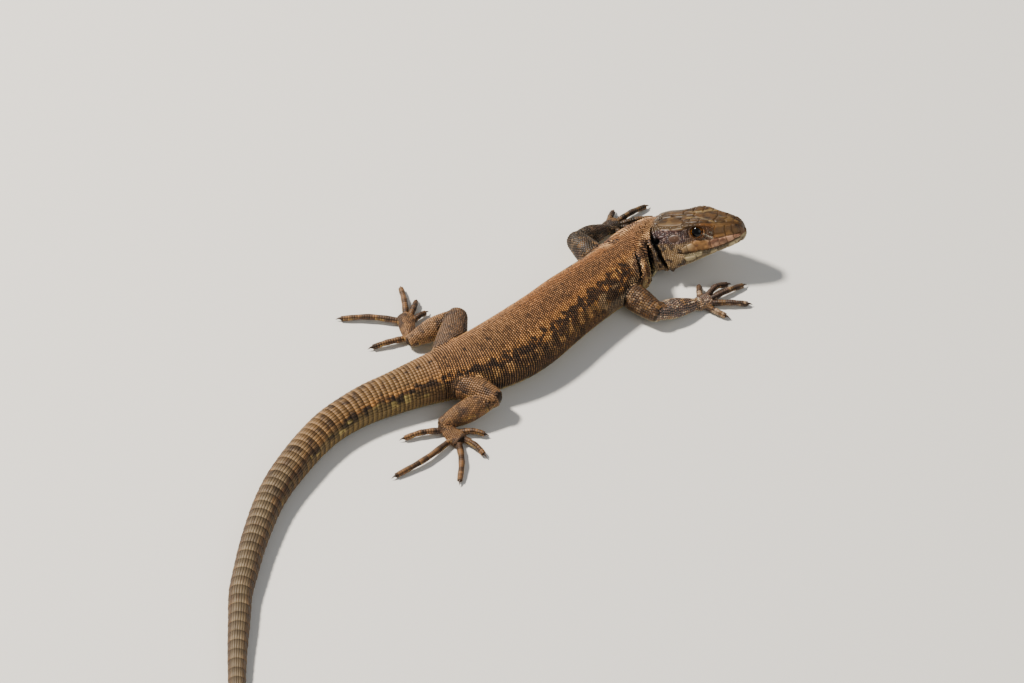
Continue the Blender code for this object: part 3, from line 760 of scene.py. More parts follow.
def crown_paint(m):
    """The crown: brown with dark streaks along it and pale edges of the outer shields."""
    at, r = m.at, m.r
    above = r < 1.2
    colour = mix(CROWN_TONE, rgb(98, 68, 40), 0.7 * m.wander) * m.shade(0.82, 1.18)
    drawn = m.points @ np.stack([0.45 * HEAD_FORWARD, HEAD_LEFT, HEAD_UP], axis=1)
    streak = ease((noise(drawn, 0.42, 33) - 0.56) / 0.12)
    colour = mix(colour, rgb(34, 25, 18), 0.6 * streak * above)
    light = ease((noise(drawn, 0.5, 37) - 0.66) / 0.1)
    colour = mix(colour, rgb(128, 102, 66), 0.4 * light * above)
    colour = mix(colour, rgb(150, 96, 50), 0.45 * band(at, 4.6, 6.8, 0.6) * band(r, 1.1, 2.3, 0.3))
    colour = colour * (1 - 0.1 * band(at, 10.4, 14.6, 1.0) * above)[:, None]
    # Rim of the parietals, above the dark temple, and a painted highlight along the inner edge of the
    # shields over the eye.
    rim = profile(at, (9.5, 1.1), (10.3, 1.08), (12.4, 0.9), (15.0, 0.7), (17.0, 0.66))
    colour = mix(colour, CROWN_EDGE, 0.8 * band(r, rim, rim + 0.3, 0.24) * band(at, 9.9, 15.0, 1.0))
    edge = profile(at, (4.6, 0.72), (6.0, 0.47), (7.1, 0.3), (8.4, 0.26), (9.4, 0.3))
    seam = band(r, edge - 0.03, edge + 0.04, 0.05) * band(at, 4.7, 9.2, 0.6)
    return mix(colour, rgb(176, 150, 108), 0.4 * seam)


# The large shield on the temple: its middle and half sizes.
MASSETERIC, MASSETERIC_LONG, MASSETERIC_WIDE = (11.4, 2.02), 0.9, 0.33


def temple_paint(m, colour):
    """The dark temple, its large shield, painted glints, and the stripe from the nostril to the eye."""
    at, r = m.at, m.r
    top = profile(at, (8.5, 1.4), (12.0, 1.36), (15.2, 1.14))
    low = profile(at, (8.6, 2.0), (9.5, 2.3), (10.55, 2.42), (12.7, 2.82), (14.9, 2.4))
    temple = band(r, top, low, 0.09) * band(at, 9.0, 15.5, 0.4)
    colour = mix(colour, TEMPLE * m.shade(0.6, 1.4), 0.94 * temple)
    # Painted glints: pale flecks over the dark temple.
    colour = mix(colour, rgb(176, 146, 132), 0.7 * temple * m.blots(0.36, 34, 0.66, 0.08))
    big = np.hypot((at - MASSETERIC[0]) / MASSETERIC_LONG, (r - MASSETERIC[1]) / MASSETERIC_WIDE)
    colour = mix(colour, rgb(86, 64, 46), 0.6 * ease((1.0 - big) / 0.2))
    colour = mix(colour, rgb(160, 138, 122), 0.6 * band(big, 0.98, 1.1, 0.08))
    line = profile(at, (0.8, 0.95), (2.6, 1.4), (4.4, 1.8), (6.0, 1.9))
    stripe = band(r, line - 0.12, line + 0.3, 0.16) * band(at, 0.7, 5.2, 0.5)
    colour = mix(colour, rgb(52, 36, 28), 0.5 * stripe * (0.5 + 0.5 * (m.wander > 0.3)))
    warm = band(at, 1.2, 4.6, 0.6) * band(r, 1.0, 2.2, 0.25)
    colour = mix(colour, rgb(136, 102, 66), 0.7 * warm * (0.4 + 0.6 * m.fine))
    # Round the eye: dull brown, with pale strokes in front of and below it.
    colour = mix(colour, rgb(84, 60, 44), 0.6 * band(at, 5.4, 9.4, 0.6) * band(r, 1.25, 2.5, 0.2))
    stroke = np.sin((at * 0.9 + r * 2.6) * 4.2) > 0.45
    share = stroke * band(at, 5.2, 6.3, 0.4) * band(r, 1.9, 2.7, 0.25)
    return mix(colour, rgb(206, 196, 176), 0.6 * share)


def lip_paint(m, colour):
    """Upper lip: pinkish shields in front, buff below the eye, cream behind it."""
    at, r = m.at, m.r
    lip = profile(at, (0.6, 2.35), (2.8, 2.5), (5.5, 2.65), (8.2, 2.5), (11.0, 2.75))
    upper = band(r, lip, 3.55, 0.12) * (at < 12.0)
    mottle = 0.5 + 0.5 * m.blots(0.45, 39, 0.3, 0.3)
    tone = mix(BUFF, LABIAL, ease((6.4 - at) / 1.4)) * m.shade(0.7, 1.3)
    colour = mix(colour, tone, 0.9 * upper * mottle * ease((9.6 - at) / 1.2))
    stain = upper * m.blots(0.8, 38, 0.5, 0.15) * band(r, lip, lip + 0.4, 0.2)
    colour = mix(colour, rgb(96, 62, 48), 0.75 * stain)
    return mix(colour, rgb(204, 174, 136), 0.9 * mound(at, r, 9.3, 0.8, 2.8, 0.26))


def jaw_paint(m, colour):
    """The snout's tip, the lower jaw, the cheek and the throat."""
    at, r = m.at, m.r
    line = np.interp(at, MOUTH_AT, MOUTH_RAIL)
    tip = ease((0.85 - at) / 0.35) * ease((r - 0.7) / 0.5) * (r < line)
    colour = mix(colour, rgb(122, 92, 68) * m.shade(0.8, 1.2), 0.85 * tip)
    jaw = ease((r - line) / 0.12)
    tone = mix(JAW_TONE * m.shade(0.8, 1.2), rgb(142, 116, 90), ease((at - 10.0) / 3.5))
    colour = mix(colour, tone, 0.95 * jaw)
    drawn = m.points @ np.stack([0.35 * HEAD_FORWARD, HEAD_LEFT, HEAD_UP], axis=1)
    streak = ease((noise(drawn, 0.5, 36) - 0.55) / 0.1)
    colour = mix(colour, rgb(66, 50, 38), 0.7 * jaw * streak * (r < 4.3))
    cheek = band(r, 2.6, 4.2, 0.2) * band(at, 10.4, 15.0, 0.6)
    colour = mix(colour, rgb(184, 152, 114), 0.8 * cheek)
    colour = mix(colour, rgb(44, 30, 26), 0.8 * cheek * m.blots(0.5, 35, 0.55, 0.08))
    return mix(colour, BELLY, 0.7 * ease((r - 4.3) / 0.5))


def opening_paint(m, colour):
    """Painted shade in the mouth's closing line, the nostril and the ear, and a dark stain by the
    nostril.
    """
    at, r = m.at, m.r
    pitch = np.interp(at, (0.0, 0.6, 1.2, 3.5, 7.5, 12.0), (2.4, 1.4, 0.9, 1.6, 2.4, 2.9))
    off = (r - np.interp(at, MOUTH_AT, MOUTH_RAIL)) * pitch
    # Painted shade in the line where the lips meet.
    shut = np.exp(-((off / 0.1) ** 2)) * ease((MOUTH_END - at) / 0.8)
    colour = mix(colour, rgb(44, 30, 22), 0.9 * shut)
    stain = mound(at, r, NOSTRIL[0] + 0.35, 0.75, NOSTRIL[1] + 0.08, 0.36)
    colour = mix(colour, rgb(52, 36, 26), 0.6 * stain)
    # Painted shade in the nostril and in the ear opening.
    colour = mix(colour, rgb(14, 10, 8), mound(at, r, NOSTRIL[0], 0.2, NOSTRIL[1], 0.17))
    ear = np.hypot((at - EAR[0]) / 0.4, (r - EAR[1]) / 0.3)
    return mix(colour, rgb(14, 10, 9), ease((1.15 - ear) / 0.3))


def head_paint(at, rail, points):
    """Markings of the head."""
    marked = Marked(at, rail, points, (0.5, 31), (1.2, 32))
    colour = crown_paint(marked)
    for layer in (temple_paint, lip_paint, jaw_paint, opening_paint):
        colour = layer(marked, colour)
    return marked.folds(colour)


def paint(at, rail, points):
    """Markings of the head and the body, which run into each other behind the head."""
    share = ease((at - 14.9) / 1.2)
    colour = body_paint(at, rail, points)
    head = share < 1
    if head.any():
        top = head_paint(at[head], rail[head], points[head])
        colour[head] = mix(top, colour[head], share[head])
    return colour


# Ground tones of limbs' parts, where they aren't LIMB, and how far the dark blots spread on each limb.
LIMB_TONES = {
    ("fore_right", "upper"): rgb(88, 62, 38),
    ("fore_right", None): rgb(78, 58, 45),
    # The left forelimb: dark brown, made darker still as painted shade.
    ("fore_left", None): rgb(42, 31, 18),
    ("hind_left", "upper"): rgb(100, 76, 56),
    ("hind_left", "lower"): rgb(142, 108, 78),
}
LIMB_BLOTS = {"fore_right": 0.5, "fore_left": 0.44, "hind_right": 0.68, "hind_left": 0.62}


def limb_paint(limb, part, t, angle, points):
    """Markings of a limb; t is the share of the way along this part of it."""
    digit, palm = part.startswith("digit"), part == "palm"
    wander = noise(points, 1.3, 42)
    above = np.sin(angle)
    tone = LIMB_TONES.get((limb, part), LIMB_TONES.get((limb, None), LIMB))
    colour = tone * (0.78 + 0.44 * noise(points, 0.5, 41))[:, None]
    blots = LIMB_BLOTS[limb]
    if digit or palm:
        blots -= 0.04
    if digit:
        colour = mix(colour, LIMB_DARK, 0.6 * (np.sin(t * 24.0 + 4 * wander) > 0.35))
    strength = 0.4 if limb == "fore_right" else 0.75
    colour = mix(colour, LIMB_DARK, strength * ease((wander - blots) / 0.12))
    if limb.startswith("hind"):
        # Gold scales along the outer lower edge and dark ones scattered near them.
        gold = ease((noise(points, 0.6, 43) - 0.62) / 0.08) * ease((0.55 - above) / 0.5)
        colour = mix(colour, rgb(178, 144, 92), 0.5 * gold)
        colour = mix(colour, LIMB_DARK, 0.6 * ease((noise(points, 0.55, 44) - 0.7) / 0.06))
    else:
        strength = 0.14 if limb == "fore_left" else 0.3 if part == "upper" else 0.62
        pale = ease((noise(points, 0.5, 43) - 0.62) / 0.08)
        colour = mix(colour, rgb(178, 150, 122), strength * pale)
        colour = mix(colour, rgb(142, 108, 70), 0.4 * ease((noise(points, 1.1, 45) - 0.62) / 0.1))
    return mix(colour, BELLY, (0.3 if digit else 0.7) * ease((-above - 0.35) / 0.4))


# ---------------------------------------------------------------- meshes
# The skin lies a COAT's depth under the plain surface, and stays FLOOR_CLEAR above the floor.
COAT = 0.08
FLOOR_CLEAR = 0.05
# The studio light is paler than the sun, so marking colours are made this much stronger and darker.
DEEPER, DARKER = 1.18, 0.72
SHIFT = -CENTRE
TURN = 2 * math.pi


def raw_object(name, points, faces):
    """A helper mesh in millimetres, linked to the scene until it is used up."""
    mesh = bpy.data.meshes.new(name)
    mesh.from_pydata(np.asarray(points).tolist(), [], np.asarray(faces).tolist())
    obj = bpy.data.objects.new(name, mesh)
    bpy.context.scene.collection.objects.link(obj)
    return obj


def evaluated_arrays(obj):
    """Points, triangles and their material indices of an object after its modifiers."""
    graph = bpy.context.evaluated_depsgraph_get()
    done = obj.evaluated_get(graph).to_mesh()
    points = np.empty(len(done.vertices) * 3, np.float32)
    done.vertices.foreach_get("co", points)
    done.calc_loop_triangles()
    tris = np.empty(len(done.loop_triangles) * 3, np.int32)
    done.loop_triangles.foreach_get("vertices", tris)
    faces = np.empty(len(done.loop_triangles), np.int32)
    done.loop_triangles.foreach_get("polygon_index", faces)
    marks = np.empty(len(done.polygons), np.int32)
    done.polygons.foreach_get("material_index", marks)
    obj.evaluated_get(graph).to_mesh_clear()
    return points.reshape(-1, 3).astype(float), tris.reshape(-1, 3), marks[faces]


def discard(*objs):
    """Removes helper objects with their meshes."""
    for obj in objs:
        mesh = obj.data
        bpy.data.objects.remove(obj, do_unlink=True)
        bpy.data.meshes.remove(mesh)


def three_corners(points, tris):
    """The three corner points of every triangle."""
    return (points[tris[:, i]] for i in range(3))


def face_normals(points, tris):
    """A normal for every triangle, as long as twice its area."""
    a, b, c = three_corners(points, tris)
    return np.cross(b - a, c - a)


def facing_out(points, tris):
    """The triangles of a closed mesh, turned so that they face outwards."""
    a, b, c = three_corners(points, tris)
    return tris[:, ::-1] if (a * np.cross(b, c)).sum() < 0 else tris


def grid_tris(rows, columns, closed, first=0):
    """Triangles of a grid of points stored row by row."""
    steps = columns if closed else columns - 1
    i, j = np.meshgrid(np.arange(rows - 1), np.arange(steps), indexing="ij")
    i, j = i.ravel() * columns + first, j.ravel()
    k = (j + 1) % columns
    a, b, c, d = i + j, i + k, i + columns + k, i + columns + j
    return np.concatenate([np.stack([a, b, c], axis=1), np.stack([a, c, d], axis=1)])


def joined(runs):
    """Points and triangles of several meshes as one."""
    points, tris, total = [], [], 0
    for p, f in runs:
        points.append(p)
        tris.append(f + total)
        total += len(p)
    return np.concatenate(points), np.concatenate(tris)


def finished(name, points, tris, colours, uvs, material, nodes=()):
    """A piece from triangles in the work frame, in millimetres: colours by point, UVs by corner."""
    points = (points + SHIFT) * MM
    tris = np.asarray(tris, np.int32)
    mesh = bpy.data.meshes.new(name)
    mesh.vertices.add(len(points))
    mesh.vertices.foreach_set("co", points.astype(np.float32).ravel())
    mesh.loops.add(len(tris) * 3)
    mesh.loops.foreach_set("vertex_index", tris.ravel())
    mesh.polygons.add(len(tris))
    mesh.polygons.foreach_set("loop_start", np.arange(0, len(tris) * 3, 3, dtype=np.int32))
    mesh.update(calc_edges=True)
    mesh.polygons.foreach_set("use_smooth", np.ones(len(tris), bool))
    layer = mesh.color_attributes.new("Marking", "FLOAT_COLOR", "POINT")
    four = np.ones((len(points), 4), np.float32)
    grey = (colours @ (0.2126, 0.7152, 0.0722))[:, None]
    four[:, :3] = np.clip((grey + DEEPER * (colours - grey)) * DARKER, 0.001, 1.0)
    layer.data.foreach_set("color", four.ravel())
    mesh.uv_layers.new(name="OFBake").data.foreach_set("uv", np.asarray(uvs, np.float32).ravel())
    mesh.materials.append(material)
    mesh.validate()
    obj = bpy.data.objects.new(name, mesh)
    bpy.context.scene.collection.objects.link(obj)
    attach(obj, "root")
    if nodes:
        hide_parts(*nodes)
    return obj


# From here the skin's rings and the places on the bake map are the tail's.
TAIL_FROM = 68.0


def body_uv(at, rail):
    """Place on the bake map: head, neck and trunk in one strip, the tail in another."""
    front = at < TAIL_FROM
    u = np.where(front, at / 70.0, (at - 66.0) / (LENGTH - 66.0))
    v = np.where(front, 0.8 + rail * 0.036, 0.52 + rail * 0.017)
    return np.stack([0.01 + 0.98 * np.clip(u, 0, 1), v], axis=-1)


# Limbs on the bake map: each part's share of the width, and each limb's height.
PART_AT = {"upper": (0.01, 0.23), "lower": (0.24, 0.44), "palm": (0.45, 0.56)}
PART_AT.update({"digit_%d" % (i + 1): (0.57 + 0.085 * i, 0.65 + 0.085 * i) for i in range(5)})
LIMB_ROW = {limb: 0.055 + 0.1 * i for i, limb in enumerate(LIMBS)}


def limb_uv(limb, part, share, angle):
    """Place on the bake map of a limb's part: angle is unrolled from the underside."""
    low, high = PART_AT[part]
    turn = ((angle + 0.5 * math.pi) / TURN) % 1.0 - 0.5
    return np.stack([low + (high - low) * np.clip(share, 0, 1), LIMB_ROW[limb] + 0.088 * turn], axis=-1)


# ---------------------------------------------------------------- the skin
# Points round a ring of the trunk and of the tail, and where the rings are; finest on the head.
AROUND, TAIL_AROUND = 152, 76
TRUNK_RINGS = np.concatenate(
    [
        np.arange(0.0, 2.0, 0.13),
        np.arange(2.0, 17.4, 0.165),
        np.arange(17.4, 28.0, 0.27),
        np.arange(28.0, TAIL_FROM, 0.52),
    ]
)
TAIL_RINGS = np.concatenate(
    [np.arange(TAIL_FROM, 110.0, 0.6), np.arange(110.0, LENGTH - 0.3, 0.75), [LENGTH]]
)


def ring_grid(rings, count):
    """(at, rail) of rings of count points, each from the crown down the left side and up the right."""
    half = np.linspace(0.0, 5.0, count // 2 + 1)
    rails = np.concatenate([half, -half[1:-1][::-1]])
    return np.stack([a.ravel() for a in np.meshgrid(rings, rails, indexing="ij")])


def capped(rings, ahead, reach):
    """Closes both ends of a run of rings with rounded caps; returns points and triangles."""
    count = rings.shape[1]
    ends = []
    for end, direction in ((rings[0], -ahead[0]), (rings[-1], ahead[1])):
        middle = end.mean(axis=0)
        steps = ((0.86, 0.45), (0.6, 0.8), (0.3, 0.96))
        extra = [middle + (end - middle) * wide + direction * reach * far for wide, far in steps]
        ends.append((extra, middle + direction * reach))
    stack = np.concatenate([ends[0][0][::-1], rings, ends[1][0]])
    points = np.concatenate([stack.reshape(-1, 3), [ends[0][1], ends[1][1]]])
    j = np.arange(count)
    k = (j + 1) % count
    last = (len(stack) - 1) * count
    front = np.stack([k, j, np.full(count, len(points) - 2)], axis=1)
    rear = np.stack([last + j, last + k, np.full(count, len(points) - 1)], axis=1)
    return points, facing_out(points, np.concatenate([grid_tris(len(stack), count, True), front, rear]))


def body_mesh():
    """The body's closed skin, with the (at, rail) of every point."""
    trunk, tail = ring_grid(TRUNK_RINGS, AROUND), ring_grid(TAIL_RINGS, TAIL_AROUND)
    at, rail = np.concatenate([trunk, tail], axis=1)
    points = surface(at, rail, -COAT)[0]
    head = at < 13.0
    points[head] = lid_fit(points[head])
    first = trunk.shape[1]
    tris = [grid_tris(len(TRUNK_RINGS), AROUND, True)]
    tris.append(grid_tris(len(TAIL_RINGS), TAIL_AROUND, True, first))
    # From the fine rings of the trunk to the coarser ones of the tail.
    j = np.arange(TAIL_AROUND)
    last = first - AROUND
    a, b, c = last + 2 * j, last + 2 * j + 1, last + (2 * j + 2) % AROUND
    d, e = first + j, first + (j + 1) % TAIL_AROUND
    tris += [np.stack(face, axis=1) for face in ((a, b, d), (b, e, d), (b, c, e))]
    # Rounded snout and tail tip.
    back = body_frame(np.array([LENGTH - 0.5, LENGTH]))[0]
    total = len(points)
    tip = total - TAIL_AROUND
    caps, cap_at, cap_rail = [], [], []
    for base, count, ahead, order in (
        (0, AROUND, 0.2 * HEAD_FORWARD, -1),
        (tip, TAIL_AROUND, 0.25 * unit(back[1] - back[0]), 1),
    ):
        ring = slice(base, base + count)
        middle = points[ring].mean(axis=0)
        j = np.arange(count)
        k = (j + 1) % count
        for wide, far in ((0.88, 0.5), (0.62, 0.82), (0.32, 0.97)):
            caps.append(middle + (points[ring] - middle) * wide + ahead * far)
            near = np.stack([base + j, base + k, total + k], axis=1)
            tris += [near[:, ::order], np.stack([base + j, total + k, total + j], axis=1)[:, ::order]]
            cap_at.append(at[ring])
            cap_rail.append(rail[ring])
            base = total
            total += count
        caps.append((middle + ahead)[None])
        cap_at.append(at[ring][:1])
        cap_rail.append(np.zeros(1))
        tris.append(np.stack([base + j, base + k, np.full(count, total)], axis=1)[:, ::order])
        total += 1
    points = np.concatenate([points, *caps])
    tris = facing_out(points, np.concatenate(tris))
    return points, tris, np.concatenate([at, *cap_at]), np.concatenate([rail, *cap_rail])


def limb_mesh():
    """All four limbs' lengths and digits, fused and softened."""
    runs = []
    for (_, part), tube in TUBES.items():
        steps, sides = (22, 14) if part.startswith("digit") else (14, 28)
        t, angle = np.linspace(0, tube["long"], steps), np.arange(sides) * TURN / sides
        rings = tube_points(tube, t[:, None], angle, -COAT)[0].reshape(steps, sides, 3)
        _, ahead, _, _, wide, _ = tube_frame(tube, np.array([0.0, tube["long"]]))
        runs.append(capped(rings, ahead, float(wide.min()) * 0.8))
    obj = raw_object("limbs_raw", *joined(runs))
    remesh = obj.modifiers.new("fuse", "REMESH")
    remesh.mode = "VOXEL"
    remesh.voxel_size = 0.17
    remesh.use_smooth_shade = True
    soft = obj.modifiers.new("soft", "SMOOTH")
    soft.factor = 0.5
    soft.iterations = 3
    points, tris, _ = evaluated_arrays(obj)
    discard(obj)
    return points, tris


def unite(body, limbs):
    """Points and triangles of both as one closed mesh, with a mark of 1 on the limbs' triangles."""
    first, second = raw_object("body_raw", *body), raw_object("limbs_fused", *limbs)
    for obj in (first, second):
        obj.data.materials.append(None)
        obj.data.materials.append(None)
    second.data.polygons.foreach_set("material_index", np.ones(len(limbs[1]), np.int32))
    union = first.modifiers.new("join", "BOOLEAN")
    union.operation = "UNION"
    union.object = second
    union.solver = "EXACT"
    result = evaluated_arrays(first)
    discard(first, second)
    return result


def joined_skin(body, limbs):
    """The skin, softened where limbs leave the body: points, triangles, marks and limb shares."""
    points, tris, marks = unite(body, limbs)
    limb_share = np.bincount(tris[marks == 1].ravel(), minlength=len(points))
    body_share = np.bincount(tris[marks == 0].ravel(), minlength=len(points))
    edges = np.sort(np.concatenate([tris[:, [0, 1]], tris[:, [1, 2]], tris[:, [2, 0]]]), axis=1)
    edges = np.unique(edges, axis=0)
    # How near each point is to the joint, spread outwards from the points that both meshes touch.
    near = ((limb_share > 0) & (body_share > 0)).astype(float)
    for _ in range(6):
        spread = near.copy()
        np.maximum.at(spread, edges[:, 0], near[edges[:, 1]] * 0.8)
        np.maximum.at(spread, edges[:, 1], near[edges[:, 0]] * 0.8)
        near = spread
    near = np.minimum(near * 1.6, 1.0)
    count = np.maximum(np.bincount(edges.ravel(), minlength=len(points)), 1)
    # Position and limb share of each point move towards the mean of its neighbours.
    columns = np.column_stack([points, limb_share > body_share])
    pace = np.outer(near, (0.6, 0.6, 0.6, 0.7))
    for _ in range(14):
        total = np.zeros_like(columns)
        for a, b in (edges.T, edges.T[::-1]):
            for i in range(4):
                total[:, i] += np.bincount(a, weights=columns[b, i], minlength=len(points))
        columns += (total / count[:, None] - columns) * pace
    points = columns[:, :3].copy()
    points[:, 2] = np.maximum(points[:, 2], FLOOR_CLEAR)
    return points, tris, marks, columns[:, 3]


def vertex_normals(points, tris):
    """Smooth normals of a mesh at its points."""
    face = face_normals(points, tris)
    normal = np.zeros_like(points)
    for i in range(3):
        for j in range(3):
            normal[:, j] += np.bincount(tris[:, i], weights=face[:, j], minlength=len(points))
    return unit(normal)


def tree_of(points):
    """A search tree that finds the nearest of the points."""
    tree = KDTree(len(points))
    for i, p in enumerate(points):
        tree.insert(p, i)
    tree.balance()
    return tree


BODY_POINTS, BODY_TRIS, BODY_AT, BODY_RAIL = body_mesh()
BODY_TREE = tree_of(BODY_POINTS)
SKIN_POINTS, SKIN_TRIS, SKIN_MARKS, LIMB_SHARE = joined_skin((BODY_POINTS, BODY_TRIS), limb_mesh())
SKIN_NORMALS = vertex_normals(SKIN_POINTS, SKIN_TRIS)
SKIN_TREE = BVHTree.FromPolygons(SKIN_POINTS.tolist(), SKIN_TRIS.tolist())


def nearest_body(points):
    """(at, rail) of the plain body's nearest grid point to each point."""
    index = np.array([BODY_TREE.find(p)[1] for p in points], int)
    return BODY_AT[index], BODY_RAIL[index]


def nearest_tube(points):
    """For points on the limbs: the number of their tube, the share along it, the angle round it."""
    tubes = list(TUBES.values())
    owner, place = np.zeros(len(points), int), np.zeros(len(points))
    least = np.full(len(points), np.inf)
    for k, tube in enumerate(tubes):
        t = np.linspace(0, tube["long"], 15)
        centre, _, _, _, wide, _ = tube_frame(tube, t)
        far = np.linalg.norm(points[:, None] - centre, axis=2) - wide
        i = far.argmin(axis=1)
        close = far.min(axis=1)
        better = close < least
        least[better], owner[better], place[better] = close[better], k, t[i[better]]
    share, angle = np.zeros(len(points)), np.zeros(len(points))
    for k, tube in enumerate(tubes):
        mine = owner == k
        centre, ahead, side, up, _, _ = tube_frame(tube, place[mine])
        apart = points[mine] - centre
        share[mine] = np.clip((place[mine] + dot(apart, ahead)) / tube["long"], 0, 1)
        angle[mine] = np.arctan2(dot(apart, up), dot(apart, side))
    return owner, share, angle


def snapped(points, reach=2.0):
    """Nearest points of the skin, its normals there, how far each was outside it, and its marks."""
    found = [SKIN_TREE.find_nearest(p, reach) for p in points.tolist()]
    missed = np.array([f[0] is None for f in found])
    index = np.array([f[2] or 0 for f in found])
    place = np.array([tuple(f[0] or (0.0, 0.0, 0.0)) for f in found])
    corner = SKIN_TRIS[index]
    a, b, c = three_corners(SKIN_POINTS, corner)
    total = np.linalg.norm(np.cross(b - a, c - a), axis=1) + 1e-12
    first = np.linalg.norm(np.cross(b - place, c - place), axis=1) / total
    second = np.linalg.norm(np.cross(c - place, a - place), axis=1) / total
    shares = (first, second, np.clip(1 - first - second, 0, 1))
    normal = unit(sum(s[:, None] * SKIN_NORMALS[corner[:, i]] for i, s in enumerate(shares)))
    outside = np.where(missed, -9.0, dot(points - place, normal))
    return place, normal, outside, SKIN_MARKS[index]


# ---------------------------------------------------------------- scales
# Half the size of a scale's place on the bake map, and the pale tone of the painted highlight on
# scales' rear ends.
PATCH = 0.0014
TIP_HIGHLIGHT = rgb(222, 172, 126)


# The height under which no point of a scale goes.
LOWEST = 0.004


class Coat:
    """Scales gathered into one piece: points, triangles, colours and bake places."""

    def __init__(self):
        self.parts = []

    def add(self, points, tris, colours, uvs):
        """Takes in scales: corners' colours and bake places are given for each point."""
        self.parts.append((points.reshape(-1, 3), tris, colours.reshape(-1, 3), uvs.reshape(-1, 2)))

    def make(self, name, material, slot):
        """Makes the piece, with no point under the floor."""
        points, tris = joined((p[0], p[1]) for p in self.parts)
        colours, uvs = (np.concatenate([p[i] for p in self.parts]) for i in (2, 3))
        points[:, 2] = np.maximum(points[:, 2], LOWEST)
        return finished(name, points, tris, colours, uvs[tris.ravel()], material)


def bead(sides=6, tail=0.18, turn=0.0, rear=0.12, rear_lighting=0.22, tones=(0.2, 0.62, 1.12, 1.3)):
    """A granular scale: points (x towards the tail, y across, z up) in half lengths, faces, and shade.

    The peak is at x = tail and the rear edge stands higher by rear. The shade is painted light and
    shade: the rear is made lighter and the front darker, and the three rings, from the base, and the
    peak each have a factor in tones; a dark base is painted shade in the gaps between scales and a
    bright peak a painted highlight.
    """
    angle = turn + np.arange(sides) * TURN / sides
    cos = np.cos(angle)
    rings, shade = [], []
    forms = ((1.0, -0.35, 0.0), (0.92, 0.4, 0.02), (0.6, 0.86, 0.1))
    for (radius, height, back), tone in zip(forms, tones):
        z = height + rear * cos * (height > 0)
        rings.append(np.stack([cos * radius + back, np.sin(angle) * radius, z], axis=1))
        shade.append(tone * (1 + rear_lighting * cos))
    points = np.concatenate([*rings, [[tail, 0.0, 1.0]]])
    j = np.arange(sides)
    top = np.stack([2 * sides + j, 2 * sides + (j + 1) % sides, np.full(sides, 3 * sides)], axis=1)
    tris = np.concatenate([grid_tris(3, sides, True), top])
    return points, tris, np.concatenate([*shade, [tones[3]]])


def scute(keel=0.0, lift=0.6, point=0.0, round_end=0.12, dome=0.18, edge=1.3):
    """A plate with a tucked front and a free rear edge: x from -1, front, to 1, rear; y across.

    keel and dome raise its middle and lift its rear; round_end and point shape the rear edge, and
    edge is the shade there. The shade is painted: darker at the tucked front, at the sides and on the
    rim under the neighbours, where shade falls, and lighter as the plate rises to the rear.
    """
    xs = np.concatenate([[-1.0], np.linspace(-0.86, 0.9, 3), [1.0]])
    ys = np.concatenate([[-1.0], np.linspace(-0.88, 0.88, 5), [1.0]])
    x, y = (a.ravel() for a in np.meshgrid(xs, ys, indexing="ij"))
    off, rise = np.abs(y), (x + 1) / 2
    inner = (np.abs(x) < 0.95) & (off < 0.95)
    z = 0.25 + lift * rise + keel * np.maximum(0, 1 - off / 0.34) * np.sqrt(rise) + dome * (1 - y**2)
    z = np.where(inner, z, -0.35)
    z = np.where((x > 0.95) & (off < 0.95), -0.25 + 0.3 * lift, z)
    # Painted shade: darker on the tucked rim, the sides and the front; lighter towards the raised rear.
    shade = np.where(inner, 0.86 + 0.24 * rise, 0.4)
    shade = shade * np.where(off > 0.85, 0.72, 1.0) * np.where(x < -0.8, 0.62, 1.0)
    shade = np.where((x > 0.8) & (off < 0.95), edge, shade)
    x = x - round_end * y**2 * (x > 0) + point * np.maximum(0, 1 - off / 0.3) * (x > 0.8)
    tris = grid_tris(len(xs), len(ys), False)[:, [0, 2, 1]]
    return turned_up(np.stack([x, y, z], axis=1), tris, shade)


def turned_up(points, tris, shade):
    """A template whose faces are all turned so that their upper side shows."""
    normal = face_normals(points, tris)
    side = dot(normal, sum(three_corners(points, tris)) / 3 - points.mean(axis=0))
    flip = np.where(np.abs(normal[:, 2]) > 1e-6, normal[:, 2], side) < 0
    tris = tris.copy()
    tris[flip] = tris[flip][:, ::-1]
    return points, tris, shade


BEAD = bead()
BEAD_FIVE = bead(5)
# ROW: dark fronts are painted shade from the row before, and bright rears painted light. GLINT's very
# bright peaks are painted glints.
ROW = bead(tail=0.4, turn=math.pi / 6, rear=0.4, rear_lighting=0.9, tones=(0.02, 0.5, 1.25, 1.9))
GLINT = bead(tail=0.2, tones=(0.04, 0.22, 1.2, 4.4))
EDGED = bead(tail=0.3, rear=0.3, rear_lighting=0.5, tones=(0.4, 2.4, 0.8, 0.75))
BELLY_PLATE = scute(lift=0.5, round_end=0.06)
KEELED = scute(keel=0.32, lift=0.55, point=0.03, round_end=0.02, dome=0.06)
RINGED = scute(keel=0.32, lift=0.7, point=0.03, round_end=0.02, dome=0.06, edge=1.7)
UNDER_TAIL = scute(keel=0.15, lift=0.5, point=0.02, round_end=0.03, dome=0.1)
DIGIT_PLATE = scute(lift=0.55, round_end=0.1)


def copied_faces(template, n):
    """Triangles of n copies of a template."""
    shape, tris, _ = template
    return (tris[None] + (np.arange(n) * len(shape))[:, None, None]).reshape(-1, 3)


